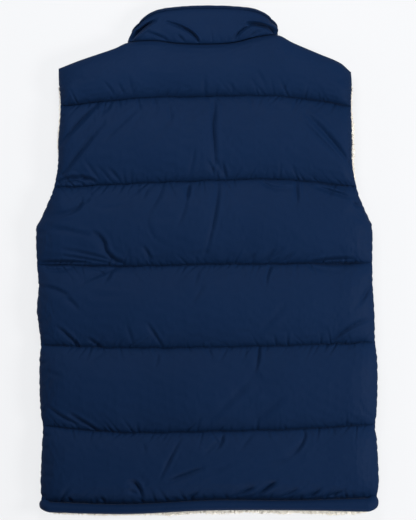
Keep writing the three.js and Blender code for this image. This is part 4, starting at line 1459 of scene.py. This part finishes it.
# Name, place, aim, width, power and colour of each lamp, in metres and watts
LAMPS = (
    ("key_light", (1.05, -0.25, 0.92), (0.1, 0, 0), 0.5, 16.2, (1, 0.998, 0.99)),
    ("top_light", (-0.1, 0.62, 0.8), (0, 0.2, 0), 0.5, 5.4, (0.97, 0.985, 1)),
    ("left_light", (-1.0, 0.1, 0.45), (-0.1, 0, 0), 0.5, 2.2, (1, 1, 1)),
    ("hem_light", (0.1, -1.0, 0.12), (0, -0.3, 0), 0.4, 3.0, (1, 1, 1)),
    ("collar_light", (0.05, 0.85, 0.5), (0, 0.3, 0), 0.25, 0.9, (1, 1, 1)),
    ("low_light", (0.3, -1.6, -2.0), (0, 0, 0), 2.0, 30, (1, 1, 1)),
)


def make_floor():
    bm = bmesh.new()
    bmesh.ops.create_grid(bm, x_segments=8, y_segments=8, size=FLOOR_HALF)
    bmesh.ops.translate(bm, vec=(0, 0, -FLOOR_BELOW), verts=bm.verts)
    material, tree, shader, _ = new_material("pale_floor")
    settings(shader, roughness=0.9, specular=0.1)
    shader.inputs["Base Color"].default_value = (0.12, 0.12, 0.122, 1)
    shader.inputs["Emission Color"].default_value = (0.97, 0.98, 1, 1)
    shader.inputs["Emission Strength"].default_value = 0.79
    clear = tree.nodes.new("ShaderNodeBsdfTransparent")
    below = tree.nodes.new("ShaderNodeNewGeometry").outputs["Backfacing"]
    both = tree.nodes.new("ShaderNodeMixShader")
    tree.links.new(below, both.inputs[0])
    tree.links.new(shader.outputs[0], both.inputs[1])
    tree.links.new(clear.outputs[0], both.inputs[2])
    tree.links.new(both.outputs[0], tree.nodes["Material Output"].inputs["Surface"])
    floor = object_from(bm, "floor", material)


def area_light(name, place, aim, size, power, colour):
    data = bpy.data.lights.new(name, "AREA")
    data.shape = "DISK"
    data.size = size
    data.energy = power
    data.color = colour
    light = bpy.data.objects.new(name, data)
    light.location = place
    light.rotation_euler = (Vector(aim) - Vector(place)).to_track_quat("-Z", "Y").to_euler()
    bpy.context.scene.collection.objects.link(light)


def make_lights():
    for lamp in LAMPS:
        area_light(*lamp)
    world = bpy.data.worlds.new("studio")
    bpy.context.scene.world = world
    world.use_nodes = True
    background = world.node_tree.nodes["Background"]
    background.inputs["Color"].default_value = (0.97, 0.98, 1, 1)
    background.inputs["Strength"].default_value = 0.22


VIEW_HEIGHT = 0.650
CAMERA_DISTANCE = 3.2
VIEW_MIDDLE = (0.0007, 0.0008)
VIEW_PLANE = 0.018
SENSOR_HEIGHT = 24


def make_camera():
    data = bpy.data.cameras.new("camera")
    data.sensor_fit = "VERTICAL"
    data.sensor_height = SENSOR_HEIGHT
    data.lens = SENSOR_HEIGHT * CAMERA_DISTANCE / VIEW_HEIGHT
    data.clip_end = 50
    camera = bpy.data.objects.new("camera", data)
    camera.location = (*VIEW_MIDDLE, VIEW_PLANE + CAMERA_DISTANCE)
    bpy.context.scene.collection.objects.link(camera)
    bpy.context.scene.camera = camera
    bpy.context.scene.view_settings.view_transform = "Standard"


make_camera()
make_back()
make_front(-1, "front_left_quilted", "front_left")
make_front(1, "front_right_quilted", "front_right")
make_collar()
make_piping()
make_hem_band()
make_fleece()
make_curls()
make_tapes()
make_teeth()
make_slider()
make_stitches()
make_floor()
make_lights()
